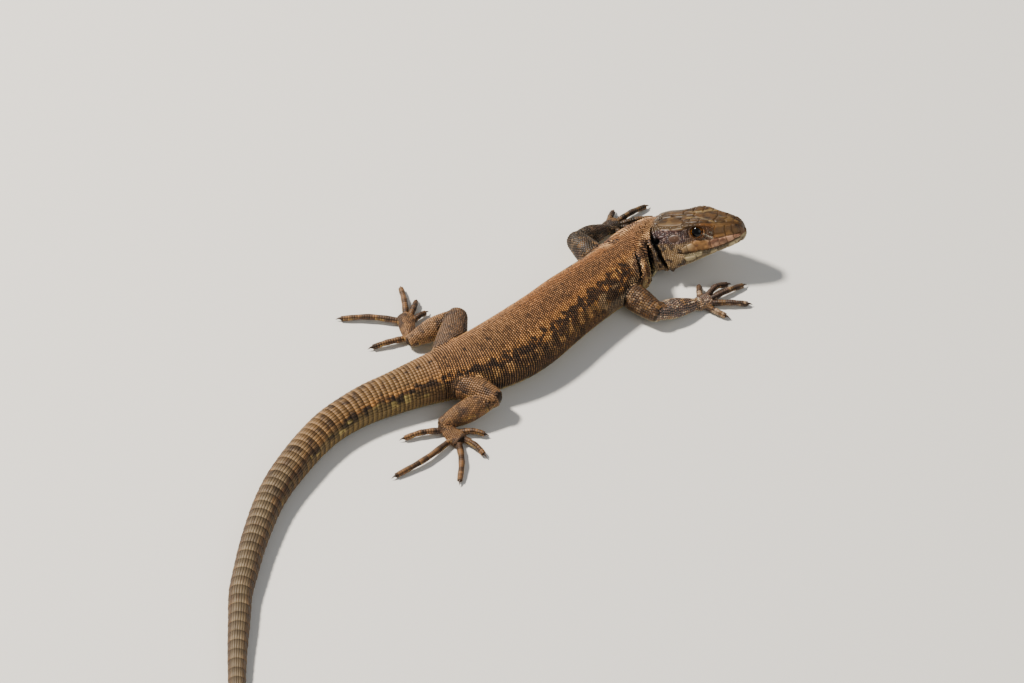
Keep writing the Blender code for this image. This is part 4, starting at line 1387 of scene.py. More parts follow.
def lay(coat, template, points, normal, lie, long, wide, high, colours, roots, rear_highlight=None):
    """Lays copies of a flat template: lie is the direction its tail end points in.

    The last argument is how far the rear of each scale takes the pale tone of a painted highlight.
    """
    shape, _, shade = template
    n = len(points)
    lie = unit(lie - dot(lie, normal)[:, None] * normal)
    axes = (lie, np.cross(normal, lie), normal)
    sizes = (np.broadcast_to(a, (n,)) for a in (0.5 * long, 0.5 * wide, high))
    out = points[:, None, :]
    for i, (size, axis) in enumerate(zip(sizes, axes)):
        out = out + (shape[:, i] * size[:, None])[:, :, None] * axis[:, None, :]
    colour = colours[:, None, :] * shade[None, :, None]
    if rear_highlight is not None:
        rear = np.clip((shape[:, 0] + 0.1) / 0.6, 0.0, 1.0) * (shape[:, 2] > 0.2)
        colour = mix(colour, TIP_HIGHLIGHT, rear[None, :] * rear_highlight[:, None])
    coat.add(out, copied_faces(template, n), colour, roots[:, None, :] + shape[:, :2] * PATCH)


def signed(rail):
    """Rails past the belly line, brought to the other side."""
    return np.where(rail > 5.0, rail - 10.0, rail)


def plates(coat, template, at, rail, half_at, half_rail, high, colours, blend=0.0):
    """Lays copies of a template bent to the body: centres (at, rail), half sizes in at and in rail.

    blend is how far each plate takes the markings point by point, and not only from its centre.
    """
    shape, _, shade = template
    n = len(at)
    a = np.clip(at[:, None] + shape[:, 0] * half_at, 0.0, LENGTH).ravel()
    r = rail[:, None] + shape[:, 1] * np.broadcast_to(half_rail, (n,))[:, None]
    r = np.where(r < -5.0, r + 10.0, signed(r)).ravel()
    points, normal, _ = surface(a, r)
    points = points + normal * np.tile(shape[:, 2] * high, n)[:, None]
    own = np.repeat(colours[:, None, :], len(shape), axis=1)
    if blend:
        own = own * (1 - blend) + blend * body_paint(a, r, points).reshape(n, -1, 3)
    uv = body_uv(at, signed(rail))[:, None, :] + shape[:, :2] * PATCH
    coat.add(points, copied_faces(template, n), own * shade[:, None], uv)


def jitter(n, seed, low=0.86, high=1.12):
    """A factor for each scale, so that neighbours differ a little."""
    return np.random.default_rng(seed).uniform(low, high, n)[:, None]


def speckled(n, seed, low, high):
    """As jitter, with one scale in seven much darker and one in eight lighter."""
    rng = np.random.default_rng(seed)
    pick = rng.random(n)
    odd = np.where(pick < 0.14, 0.6, 1.0) * np.where(pick > 0.88, 1.4, 1.0)
    return (rng.uniform(low, high, n) * odd)[:, None]


def spaced_rails(at, shares, low, high):
    """Rails at these shares of the girth from rail low to rail high, and how long that girth is."""
    line = np.linspace(low, high, 90)
    grid = body_points(at, line)
    walked = np.concatenate([[0.0], np.cumsum(np.linalg.norm(np.diff(grid, axis=0), axis=1))])
    return np.interp(shares * walked[-1], walked, line), walked[-1]


def ring_of(at, count, shift, low, high):
    """A row of count scales across the body: columns of at, rail and the distance between them."""
    rails, girth = spaced_rails(at, (np.arange(count) + shift) / count, low, high)
    return np.stack([np.full(count, at), rails, np.full(count, girth / count)])


def inside_polygon(x, y, polygon):
    """Which of the points (x, y) lie inside the polygon."""
    inside = np.zeros(len(x), bool)
    for (x1, y1), (x2, y2) in zip(polygon, np.roll(polygon, -1, axis=0)):
        slope = (x2 - x1) / (y2 - y1) if y2 != y1 else 0.0
        inside ^= ((y1 > y) != (y2 > y)) & (x < slope * (y - y1) + x1)
    return inside


# ---------------------------------------------------------------- shields of the head
def rail_of(at, out):
    """The rail above the cheek at which the head's section is this far from its middle line."""
    at, out = np.array(at, float), np.array(out, float)
    low, high = np.zeros(len(at)), np.full(len(at), 2.6)
    for _ in range(30):
        middle = 0.5 * (low + high)
        across = head_section(at, middle)[0]
        low = np.where(across < out, middle, low)
        high = np.where(across < out, high, middle)
    return 0.5 * (low + high)


# Crown shields as (distance from the snout, distance from the middle line); each has its mirror.
CROWN_PAIRS = (
    ((0.62, 0.04), (0.6, 0.5), (1.05, 0.62), (1.5, 0.5), (1.45, 0.04)),
    (
        (2.62, 0.04), (3.08, 0.78), (2.7, 1.4), (3.3, 1.78),
        (4.15, 1.95), (4.62, 1.62), (4.35, 0.75), (4.25, 0.04),
    ),
    (
        (8.36, 0.04), (8.48, 0.35), (8.28, 0.72), (8.9, 1.2),
        (9.9, 1.75), (10.5, 1.35), (10.3, 0.55), (9.72, 0.04),
    ),
    (
        (10.62, 1.4), (10.0, 1.85), (9.78, 2.55), (10.3, 3.0), (11.8, 3.02), (13.2, 2.92), (14.3, 2.5),
        (14.7, 1.6), (14.2, 0.8), (13.45, 0.6), (12.3, 0.52), (11.68, 0.5), (10.42, 0.62),
    ),
    ((4.72, 1.72), (4.4, 2.0), (4.85, 2.3), (5.35, 2.25), (5.45, 1.6)),
    ((5.53, 1.6), (5.43, 2.3), (6.2, 2.68), (6.95, 2.8), (7.05, 1.12), (6.05, 1.5)),
    ((7.13, 1.06), (7.03, 2.82), (8.0, 2.88), (8.7, 2.75), (8.78, 1.28), (8.2, 0.84)),
    ((8.86, 1.3), (8.78, 2.74), (9.5, 2.56), (9.78, 1.82)),
)
CROWN_MIDDLE = (
    ((1.53, 0.0), (1.58, 0.5), (1.3, 0.9), (1.75, 1.16), (2.55, 1.36), (3.0, 0.76), (2.54, 0.0)),
    (
        (4.34, 0.0), (4.46, 0.75), (4.75, 1.5), (6.0, 1.4),
        (7.1, 1.0), (8.16, 0.62), (8.4, 0.3), (8.28, 0.0),
    ),
    ((9.8, 0.0), (10.36, 0.5), (11.6, 0.42), (12.15, 0.0)),
    ((12.22, 0.0), (12.34, 0.42), (13.3, 0.5), (13.9, 0.6), (14.05, 0.0)),
)
# Shields of the side and underside as (distance from the snout, rail).
SIDE_SHIELDS = {
    "nasal": (
        (0.62, 0.95), (0.62, 1.75), (0.9, 2.2), (1.5, 2.35),
        (1.85, 1.7), (1.62, 1.0), (1.05, 0.78),
    ),
    "loreal": (
        (1.93, 1.7), (1.6, 2.35), (1.8, 2.42), (2.82, 2.46),
        (3.0, 1.6), (2.6, 1.1), (1.72, 1.02),
    ),
    "freno": (
        (3.08, 1.6), (2.9, 2.48), (4.2, 2.56), (4.9, 2.25),
        (4.7, 1.55), (4.2, 1.15), (2.75, 1.08),
    ),
    "brow_1": ((4.95, 1.12), (4.85, 1.3), (5.8, 1.22), (5.95, 1.0)),
    "brow_2": ((6.0, 0.99), (5.86, 1.21), (6.75, 1.16), (6.9, 0.95)),
    "brow_3": ((6.96, 0.95), (6.82, 1.15), (7.7, 1.15), (7.82, 0.95)),
    "brow_4": ((7.88, 0.95), (7.76, 1.15), (8.6, 1.17), (8.72, 0.95)),
    "brow_5": ((8.78, 0.95), (8.66, 1.17), (9.6, 1.22), (9.68, 1.0)),
    "temporal_1": ((9.75, 1.15), (9.7, 1.42), (11.2, 1.5), (11.9, 1.42), (11.95, 1.18), (10.4, 1.1)),
    "temporal_2": ((12.02, 1.18), (11.98, 1.42), (13.3, 1.4), (13.9, 1.25), (13.6, 1.1)),
    "tympanic": ((13.0, 1.75), (12.95, 1.92), (13.6, 2.02), (14.15, 1.92), (14.1, 1.78), (13.6, 1.7)),
    "lip_1": ((0.62, 2.28), (0.62, 3.1), (0.9, 3.26), (1.62, 3.34), (1.66, 2.42), (0.95, 2.25)),
    "lip_2": ((1.72, 2.42), (1.7, 3.35), (2.82, 3.4), (2.88, 2.52)),
    "lip_3": ((2.94, 2.53), (2.9, 3.41), (4.1, 3.47), (4.2, 2.62)),
    "lip_4": ((4.26, 2.62), (4.18, 3.48), (5.52, 3.49), (5.62, 2.75), (5.1, 2.5)),
    "lip_5": (
        (5.7, 2.72), (5.6, 3.49), (7.5, 3.4), (8.0, 3.02),
        (8.45, 2.62), (8.1, 2.42), (7.3, 2.52), (6.2, 2.56),
    ),
    "lip_6": ((8.1, 3.02), (7.66, 3.38), (9.35, 3.28), (9.5, 2.7), (8.56, 2.6)),
    "lip_7": ((9.58, 2.7), (9.43, 3.28), (10.5, 3.22), (10.7, 2.9)),
    "under_1": ((0.5, 3.26), (0.55, 3.95), (1.6, 4.0), (1.72, 3.5), (0.9, 3.4)),
    "under_2": ((1.8, 3.52), (1.68, 4.0), (3.0, 3.98), (3.1, 3.6)),
    "under_3": ((3.18, 3.61), (3.08, 3.98), (4.6, 3.95), (4.7, 3.66)),
    "under_4": ((4.78, 3.66), (4.68, 3.95), (6.3, 3.93), (6.4, 3.64)),
    "under_5": ((6.48, 3.63), (6.38, 3.92), (8.2, 3.86), (8.3, 3.55)),
    "under_6": ((8.38, 3.54), (8.28, 3.85), (10.0, 3.72), (10.4, 3.42)),
    "chin_1": ((1.1, 4.1), (1.1, 4.95), (2.0, 4.95), (2.1, 4.08)),
    "chin_2": ((2.18, 4.08), (2.08, 4.95), (3.2, 4.95), (3.35, 4.06)),
    "chin_3": ((3.43, 4.06), (3.28, 4.95), (4.6, 4.95), (5.1, 4.5), (5.0, 4.03)),
    "chin_4": ((5.08, 4.02), (5.16, 4.48), (6.6, 4.4), (6.9, 4.0)),
    "chin_5": ((6.98, 4.0), (6.72, 4.38), (8.3, 4.25), (8.7, 3.95)),
    "chin_6": ((8.78, 3.94), (8.42, 4.22), (10.0, 4.05), (10.3, 3.82)),
}
SIDE_SHIELDS["masseteric"] = tuple(
    (MASSETERIC[0] + MASSETERIC_LONG * math.cos(t), MASSETERIC[1] + MASSETERIC_WIDE * math.sin(t))
    for t in np.linspace(0, TURN, 13)[:-1]
)
SIDE_SHIELDS["mental"] = ((0.02, 3.3), (0.45, 3.42), (0.48, 4.0), (1.02, 4.1), (1.02, 5.0), (0.02, 5.0))
# The left half of the shield at the snout's tip.
ROSTRAL = ((0.02, 2.72), (0.3, 2.98), (0.56, 3.02), (0.56, 2.2), (0.56, 1.2), (0.6, 0.0))


def head_polygons():
    """Every shield as a name and a polygon of (distance from the snout, signed rail)."""
    found = []
    for i, pair in enumerate(CROWN_PAIRS):
        at, out = np.transpose(pair)
        rail = rail_of(at, out)
        for sign in (1, -1):
            found.append(("crown_%d_%d" % (i, sign), np.stack([at, sign * rail], axis=1)))
    for i, middle in enumerate(CROWN_MIDDLE):
        at, out = np.transpose(middle)
        rail = np.where(out == 0.0, 0.0, rail_of(at, out))
        left = np.stack([at, rail], axis=1)
        found.append(("crown_middle_%d" % i, np.concatenate([left, (left * (1, -1))[::-1][1:-1]])))
    for name, polygon in SIDE_SHIELDS.items():
        for sign in (1, -1):
            found.append(("%s_%d" % (name, sign), np.array(polygon) * (1, sign)))
    half = np.array(ROSTRAL)
    found.append(("rostral", np.concatenate([half, (half * (1, -1))[::-1][1:]])))
    return found


def filled(flat):
    """A polygon filled with triangles: points, faces, rim and each point's distance from the rim."""
    rim = []
    for a, b in zip(flat, np.roll(flat, -1, axis=0)):
        steps = max(int(np.ceil(np.linalg.norm(b - a) / 0.13)), 1)
        rim += [a + (b - a) * k / steps for k in range(steps)]
    rim = np.array(rim)
    low, high = flat.min(axis=0), flat.max(axis=0)
    x, y = np.meshgrid(np.arange(low[0], high[0], 0.125), np.arange(low[1], high[1], 0.11))
    x = x + 0.0625 * (np.arange(len(x)) % 2)[:, None]
    x, y = x.ravel(), y.ravel()
    grid = np.stack([x, y], axis=1)[inside_polygon(x, y, flat)]
    grid = grid[np.linalg.norm(grid[:, None] - rim, axis=2).min(axis=1) > 0.055]
    loop = [list(range(len(rim)))]
    points = [tuple(p) for p in np.concatenate([rim, grid])]
    verts, _, faces, _, _, _ = delaunay_2d_cdt(points, [], loop, 1, 1e-5)
    verts = np.array([tuple(v) for v in verts])
    edge = np.linalg.norm(verts[:, None] - rim, axis=2).min(axis=1)
    return verts, np.array(faces, int), rim, edge


def shield(coat, name, polygon, seed):
    """One shield: its outline filled, raised in the middle and sunk at the rim."""
    middle = polygon.mean(axis=0)
    # Rails are stretched to millimetres, so that the filling is even.
    e = 0.25
    beside = surface(middle[0], middle[1] + np.array([-e, e]))[0]
    scale = max(np.linalg.norm(beside[1] - beside[0]) / (2 * e), 0.3)
    verts, faces, rim, edge = filled(polygon * (1.0, scale))
    at, rail = verts[:, 0], verts[:, 1] / scale
    rise = ease(edge / 0.15)
    lift = -0.06 + 0.09 * rise + 0.05 * np.minimum(edge / 0.9, 1.0) * rise
    place, normal, _ = surface(np.maximum(at, 0.0), rail)
    lift += 0.018 * (noise(place, 0.35, 50 + seed) - 0.5) * rise
    place = place + normal * lift[:, None]
    colours = head_paint(at, rail, place) * (0.8 + 0.2 * rise)[:, None]
    tone = np.random.default_rng(900 + seed).uniform(0.88, 1.12)
    flip = dot(face_normals(place, faces), normal[faces[:, 0]]) < 0
    faces[flip] = faces[flip][:, ::-1]
    coat.add(place, faces, colours * tone, body_uv(at, rail))
    if name.startswith("brow"):
        # The side towards the crown reaches down to the lid, so that nothing shows under it.
        at, rail, n = rim[:, 0], rim[:, 1] / scale, len(rim)
        place = np.concatenate([surface(at, rail, lift)[0] for lift in (-0.06, -0.75)])
        inner = np.maximum(np.abs(rail), np.abs(np.roll(rail, -1))) < 1.12
        walls = [(i, (i + 1) % n) for i in np.nonzero(inner)[0]]
        faces = [face for i, j in walls for face in ((i, j, n + j), (i, n + j, n + i))]
        at, rail = np.tile(at, 2), np.tile(rail, 2)
        # The wall is darkened as painted shade under the brow's edge.
        coat.add(place, np.array(faces), head_paint(at, rail, place) * 0.7 * tone, body_uv(at, rail))


POLYGONS = head_polygons()


# ---------------------------------------------------------------- materials
def node_material(name, rough, fine, bump, coat=0.0, coat_rough=0.25, colour=None, shine=0.5):
    """Marking colours, or one colour, varied by a noise as fine as grain, with bump and gloss."""
    made = bpy.data.materials.new(name)
    made.use_nodes = True
    nodes, links = made.node_tree.nodes, made.node_tree.links
    shader = nodes["Principled BSDF"]
    place = nodes.new("ShaderNodeTexCoord")

    def node(kind, **values):
        """A node with constants on its sockets."""
        new = nodes.new(kind)
        for socket, value in values.items():
            new.inputs[socket.replace("_", " ")].default_value = value
        return new

    def spread(low, high):
        """The grain's noise, brought to run from low to high."""
        new = node("ShaderNodeMapRange", From_Min=0.3, From_Max=0.7, To_Min=low, To_Max=high)
        links.new(grain.outputs["Fac"], new.inputs["Value"])
        return new.outputs["Result"]

    grain = node("ShaderNodeTexNoise", Scale=fine, Detail=3.0, Roughness=0.6)
    links.new(place.outputs["Object"], grain.inputs["Vector"])
    if colour is None:
        base = nodes.new("ShaderNodeVertexColor")
        base.layer_name = "Marking"
    else:
        blots = node("ShaderNodeTexNoise", Scale=1800.0)
        links.new(place.outputs["Object"], blots.inputs["Vector"])
        base = nodes.new("ShaderNodeValToRGB")
        for element, spot, factor in zip(base.color_ramp.elements, (0.3, 0.7), (0.7, 1.25)):
            element.position = spot
            element.color = (*np.minimum(factor * colour, 1), 1)
        links.new(blots.outputs["Fac"], base.inputs["Fac"])
    varied = nodes.new("ShaderNodeVectorMath")
    varied.operation = "SCALE"
    links.new(base.outputs["Color"], varied.inputs[0])
    links.new(spread(0.8, 1.16), varied.inputs["Scale"])
    links.new(varied.outputs["Vector"], shader.inputs["Base Color"])
    links.new(spread(rough - 0.07, rough + 0.1), shader.inputs["Roughness"])
    raised = node("ShaderNodeBump", Strength=bump, Distance=0.00003)
    links.new(grain.outputs["Fac"], raised.inputs["Height"])
    links.new(raised.outputs["Normal"], shader.inputs["Normal"])
    shader.inputs["Specular IOR Level"].default_value = shine
    shader.inputs["Coat Weight"].default_value = coat
    shader.inputs["Coat Roughness"].default_value = coat_rough
    return made


SKIN_FINISH = node_material("skin_between_scales", 0.68, 9000.0, 0.6, shine=0.2)
SCALE_FINISH = node_material("granular_scales", 0.46, 14000.0, 0.35, shine=0.32)
GLINT_FINISH = node_material("glossy_granules", 0.26, 14000.0, 0.35, shine=0.75)
SHIELD_FINISH = node_material("head_shields", 0.44, 11000.0, 0.3, coat=0.03, shine=0.3)
TAIL_FINISH = node_material("tail_rings", 0.52, 12000.0, 0.35, shine=0.25)
CLAW_FINISH = node_material("claw_horn", 0.45, 5000.0, 0.2, colour=HORN)
EYE_FINISH = node_material("eye_wet", 0.14, 9000.0, 0.02, coat=0.22, coat_rough=0.03, shine=0.12)


# ---------------------------------------------------------------- the skin as a piece
def skin_colours(at, rail, owner, share, angle):
    """Markings of the skin, darker than the scales as painted shade, for it shows only between them."""
    colours, limb_colours = np.zeros_like(SKIN_POINTS), np.zeros_like(SKIN_POINTS)
    body = LIMB_SHARE < 0.999
    colours[body] = paint(at[body], rail[body], SKIN_POINTS[body])
    for k, (limb, part) in enumerate(TUBES):
        mine = (owner == k) & (LIMB_SHARE > 0.001)
        limb_colours[mine] = limb_paint(limb, part, share[mine], angle[mine], SKIN_POINTS[mine])
    # Painted shade in the gaps: the skin darkened most on the trunk and limbs, less on head, belly and
    # tail.
    depth = profile(at, (8.5, 0.85), (10.0, 0.6), (13.5, 0.5), (16.0, 0.16), (65.0, 0.16), (68.0, 0.4))
    depth = np.where(np.abs(rail) > 3.6, 0.5, depth)
    depth = np.where(LIMB_SHARE > 0.5, 0.24, depth)
    return mix(colours, limb_colours, LIMB_SHARE) * depth[:, None]


def skin_places(at, rail, owner):
    """Bake places: each triangle by its own part, with the seams along the underside."""
    at, rail = at[SKIN_TRIS], rail[SKIN_TRIS]
    seam = np.abs(rail) > 4.99
    side = np.sign(np.where(seam, 0.0, rail).sum(axis=1) + 1e-6)[:, None]
    uvs = body_uv(at, np.where(seam, side * np.abs(rail), rail))
    for k, ((limb, part), tube) in enumerate(TUBES.items()):
        mine = np.nonzero((SKIN_MARKS == 1) & (owner[SKIN_TRIS[:, 0]] == k))[0]
        p = SKIN_POINTS[SKIN_TRIS[mine]].reshape(-1, 3)
        start, run = tube["path"][0], tube["path"][-1] - tube["path"][0]
        share = np.clip((p - start) @ run / np.sum(run**2), 0, 1)
        centre, _, sideways, up, _, _ = tube_frame(tube, share * tube["long"])
        turn = np.arctan2(dot(p - centre, up), dot(p - centre, sideways)).reshape(-1, 3)
        middle = turn[:, :1]
        turn = middle + (turn - middle + math.pi) % TURN - math.pi
        uvs[mine] = limb_uv(limb, part, share, turn.ravel()).reshape(-1, 3, 2)
    return uvs.reshape(-1, 2)


SKIN_AT, SKIN_RAIL = nearest_body(SKIN_POINTS)
OWNER, OWN_SHARE, OWN_ANGLE = nearest_tube(SKIN_POINTS)
finished(
    "skin",
    SKIN_POINTS,
    SKIN_TRIS,
    skin_colours(SKIN_AT, SKIN_RAIL, OWNER, OWN_SHARE, OWN_ANGLE),
    skin_places(SKIN_AT, SKIN_RAIL, OWNER),
    SKIN_FINISH,
    [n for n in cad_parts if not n.startswith("eye")],
)


# ---------------------------------------------------------------- laying the coat
# Scales this close to the floor rest on it: they are thin and don't overlap.
RESTING, THIN = 0.08, 0.035
# Up to here the throat and neck rest on the floor under a lattice of their own.
GULAR_END = 24.85
CLOSE_CELLS = [(x, y, z) for x in (-1, 0, 1) for y in (-1, 0, 1) for z in (-1, 0, 1)]


class Crowd:
    """Keeps scales of different runs from landing on each other where limbs leave the body."""

    def __init__(self):
        self.cells = {}

    def free(self, points, radius):
        """Which of these points are at least radius from all kept before; those are kept."""
        keep = np.zeros(len(points), bool)
        cells = np.floor(points / 0.5).astype(int)
        for i, (p, c, r) in enumerate(zip(points.tolist(), cells.tolist(), radius.tolist())):
            around = [self.cells.get((c[0] + x, c[1] + y, c[2] + z), ()) for x, y, z in CLOSE_CELLS]
            if all(math.dist(p, q) >= r for cell in around for q in cell):
                keep[i] = True
                self.cells.setdefault(tuple(c), []).append(p)
        return keep


CROWD = Crowd()


def lay_on_body(
    coat, at, rail, long, wide, high, seed, template=BEAD, share=0.98, spread=(0.86, 1.12), rear_highlight=None
):
    """Scales on the body, set on the skin and left out where a limb covers it.

    long and wide are the distances between scales; share is how much of long a scale takes.
    """
    points, _, lie = surface(at, rail)
    place, normal, outside, _ = snapped(points)
    keep = outside > -0.35
    keep &= ~((place[:, 2] < RESTING) & (normal[:, 2] < -0.9) & (at < GULAR_END))
    keep &= folds_at(at, rail) < 0.34
    long, wide = (np.broadcast_to(a, (len(at),)) for a in (long, wide))
    keep[keep] = CROWD.free(place[keep], 0.62 * np.minimum(long, wide)[keep])
    at, rail, long, wide = (a[keep] for a in (at, rail, long, wide))
    place, normal, lie = (a[keep] for a in (place, normal, lie))
    rear_highlight = None if rear_highlight is None else rear_highlight[keep]
    # On the outer side of the neck's bend the scales are as long as the rows are apart.
    apart = np.linalg.norm(body_points(at + 0.1, rail) - body_points(at - 0.1, rail), axis=1) / 0.2
    long = long * np.where((at > 15.5) & (at < FOLDS_END), np.clip(apart, 1.0, 2.2), 1.0)
    tint = paint(at, rail, place) * speckled(len(at), seed, *spread)
    flat = place[:, 2] < RESTING
    grow = np.random.default_rng(seed + 1).uniform(0.95, 1.05, len(at))
    long = np.where(flat, 0.86 * share, share) * long * grow
    wide = 1.14 * np.where(flat, 0.82, 1.0) * wide * grow
    high = np.where(flat, THIN, high)
    lay(coat, template, place, normal, lie, long, wide, high, tint, body_uv(at, rail), rear_highlight)


# Distance between the rows of the trunk against the distance from the snout.
TRUNK_AT, TRUNK_PITCH = (15, 22, 30, 60, 66), (0.33, 0.36, 0.39, 0.39, 0.42)


def trunk_coats():
    """Rows of granules on neck and trunk above the belly plates, as a front and a rear coat."""
    rows = rows_of(15.75, 66.2, TRUNK_AT, TRUNK_PITCH)
    edges = profile(rows, (15, 5.0), (24.75, 5.0), (24.95, 3.55), (64, 3.55), (67, 4.2))
    counts = profile(rows, (15, 70), (22, 72), (24.75, 72), (24.95, 56), (64, 52), (67, 52))
    runs = []
    for i, (a, edge, count) in enumerate(zip(rows, edges, counts)):
        ring = ring_of(a, int(round(count)), 0.5 * (i % 2) + 0.25, -edge, edge)
        runs.append([*ring, np.full(len(ring[0]), np.interp(a, TRUNK_AT, TRUNK_PITCH))])
    at, rail, wide, long = np.concatenate(runs, axis=1)
    at = at + np.random.default_rng(3).normal(0, 0.018, (len(at), 2))[:, 0]
    # Painted highlights on the scales' rear ends, strongest low on the flanks, each scale at its own
    # strength.
    rear_highlight = profile(np.abs(rail), (0.3, 0.04), (0.9, 0.08), (1.5, 0.1), (2.6, 0.14), (3.3, 0.08))
    rear_highlight = rear_highlight * profile(at, (16, 0.5), (26, 1.0), (58, 1.0), (66, 0.6))
    rear_highlight = rear_highlight * np.random.default_rng(4).uniform(0.2, 1.8, len(at))
    coats = []
    for number, part in enumerate((at < 44.0, at >= 44.0)):
        coats.append(Coat())
        run = (at[part], rail[part], long[part], wide[part])
        lay_on_body(coats[-1], *run, 0.13, 100 + number, ROW, 0.94, (0.72, 1.3), rear_highlight[part])
    return coats


# Across the belly, from one side to the other: plates' middles and half widths in rails.
BELLY_MIDDLES = np.array([3.72, 4.1, 4.45, 4.8, 5.2, 5.55, 5.9, 6.28])
BELLY_HALVES = 0.97 * np.array([0.18, 0.18, 0.165, 0.18, 0.18, 0.165, 0.18, 0.18])


def belly_row(coat, at, middles, half_at, half_rail, tone=1.0):
    """A row of plates across the belly, left out where a limb covers them."""
    points = surface(at, signed(middles))[0]
    keep = snapped(points)[2] > -0.3
    tint = body_paint(at, signed(middles), points) * tone
    plates(coat, BELLY_PLATE, at[keep], middles[keep], half_at, half_rail[keep], 0.1, tint[keep])


def belly_coat():
    """Belly plates, the collar's edge and the plate before the vent."""
    coat = Coat()
    for i, a in enumerate(np.arange(27.15, 64.4, 1.46)):
        tone = jitter(8, 200 + i, 0.92, 1.06)
        belly_row(coat, np.full(8, a), BELLY_MIDDLES, 0.722, BELLY_HALVES, tone)
    middles = np.linspace(3.55, 6.45, 11)
    belly_row(coat, 25.35 + 0.35 * np.cos((middles - 5) * 0.9), middles, 0.62, np.full(11, 0.142))
    vent, beside = np.array([65.0]), np.array([4.95])
    tint = body_paint(vent, beside, surface(vent, beside)[0])
    plates(coat, BELLY_PLATE, vent, np.array([5.0]), 0.8, np.array([0.4]), 0.1, tint)
    return coat


def tail_coat():
    """Rings of plates round the tail, keeled above and plainer below."""
    coat = Coat()
    for i, (start, end) in enumerate(zip(WHORLS, WHORLS[1:])):
        long = end - start
        counts = profile(start, (66, 46), (80, 38), (100, 32), (130, 26), (160, 20), (178, 12))
        n = 2 * int(round(0.5 * counts))
        at = np.full(n, start + 0.5 * long)
        rail = spaced_rails(at[0], (np.arange(n) + 0.5) / n, -5.0, 5.0)[0]
        half = 0.49 * np.diff(spaced_rails(at[0], np.arange(n + 1) / n, -5.0, 5.0)[0])
        points = surface(at, rail)[0]
        keep = snapped(points)[2] > -0.3
        tint = body_paint(at, rail, points) * speckled(n, 300 + i, 0.7, 1.25)
        # Painted shade: plates darker towards the tail's base, to match the shaded gaps of the trunk's
        # granules.
        tint = tint * profile(start, (66, 0.78), (71, 0.88), (80, 1.0))
        high = profile(start, (66, 0.08), (100, 0.11), (180, 0.06))
        upper = RINGED if i % 2 or start < 112 else KEELED
        under = np.abs(rail) > 3.6
        for template, own in ((upper, keep & ~under), (UNDER_TAIL, keep & under)):
            if own.any():
                plates(coat, template, at[own], rail[own], 0.54 * long, half[own], high, tint[own], 0.7)
    return coat


# Distance between scales on the upper length, the lower length and the palm of each limb.
LIMB_PITCH = {
    "fore_right": (0.5, 0.46, 0.34),
    "fore_left": (0.5, 0.58, 0.34),
    "hind_right": (0.43, 0.4, 0.34),
    "hind_left": (0.43, 0.4, 0.34),
}


def tube_rows(tube, start, beyond, pitch):
    """Rows of places round a tube, from start to beyond its end: distances along it and angles."""
    runs = []
    for i, t in enumerate(np.arange(start, tube["long"] + beyond, pitch * 0.87)):
        _, _, _, _, wide, high = tube_frame(tube, np.array([np.clip(t, 0, tube["long"])]))
        past = max(t - tube["long"], 0.0) / wide[0]
        girth = math.pi * (wide[0] + high[0]) * math.sqrt(max(1 - past**2, 0.05))
        n = max(int(round(girth / pitch)), 5)
        runs.append([np.full(n, t), (np.arange(n) + 0.5 * (i % 2)) * TURN / n])
    return np.concatenate(runs, axis=1)


def limb_coats():
    """Granules on the limbs down to the palms, and the glossy ones of the right forearm apart."""
    plain, glossy = Coat(), Coat()
    for number, (limb, pitches) in enumerate(LIMB_PITCH.items()):
        for part, pitch in zip(("upper", "lower", "palm"), pitches):
            tube, upper = TUBES[limb, part], part == "upper"
            t, angle = tube_rows(tube, 0.0 if upper else -0.3, 1.2 if upper else 0.7, pitch)
            inside = np.clip(t, 0, tube["long"])
            points, _, ahead = tube_points(tube, inside, angle)
            place, normal, outside, marks = snapped(points + ahead * (t - inside)[:, None])
            keep = (outside > -0.3) & (outside < 0.9) & (marks == 1)
            keep[keep] = CROWD.free(place[keep], np.full(keep.sum(), 0.7 * pitch))
            place, normal, ahead, angle = (a[keep] for a in (place, normal, ahead, angle))
            share = inside[keep] / tube["long"]
            spread = (0.6, 1.4) if limb == "fore_right" else (0.75, 1.25)
            tint = limb_paint(limb, part, share, angle, place)
            tint = tint * speckled(len(share), 400 + number, *spread)
            flat = place[:, 2] < RESTING
            size = pitch * np.random.default_rng(430 + number).uniform(0.96, 1.1, len(share))
            size = np.where(flat, 0.84, 1.0) * size
            high = np.where(flat, THIN, 0.11)
            coat, template = (plain, EDGED) if limb == "fore_left" else (plain, BEAD)
            # The right forearm's granules take GLINT, with painted glints on their peaks.
            if limb == "fore_right" and not upper:
                coat, template = glossy, GLINT
            roots = limb_uv(limb, part, share, angle)
            lay(coat, template, place, normal, ahead, 1.12 * size, 1.04 * size, high, tint, roots)
    return plain, glossy


# Plates round a digit: middle angle and half width of the upper, the two side and the lower ones.
DIGIT_SIDES = ((0.5 * math.pi, 1.02), (-0.1, 0.6), (math.pi + 0.1, 0.6), (-0.5 * math.pi, 0.78))


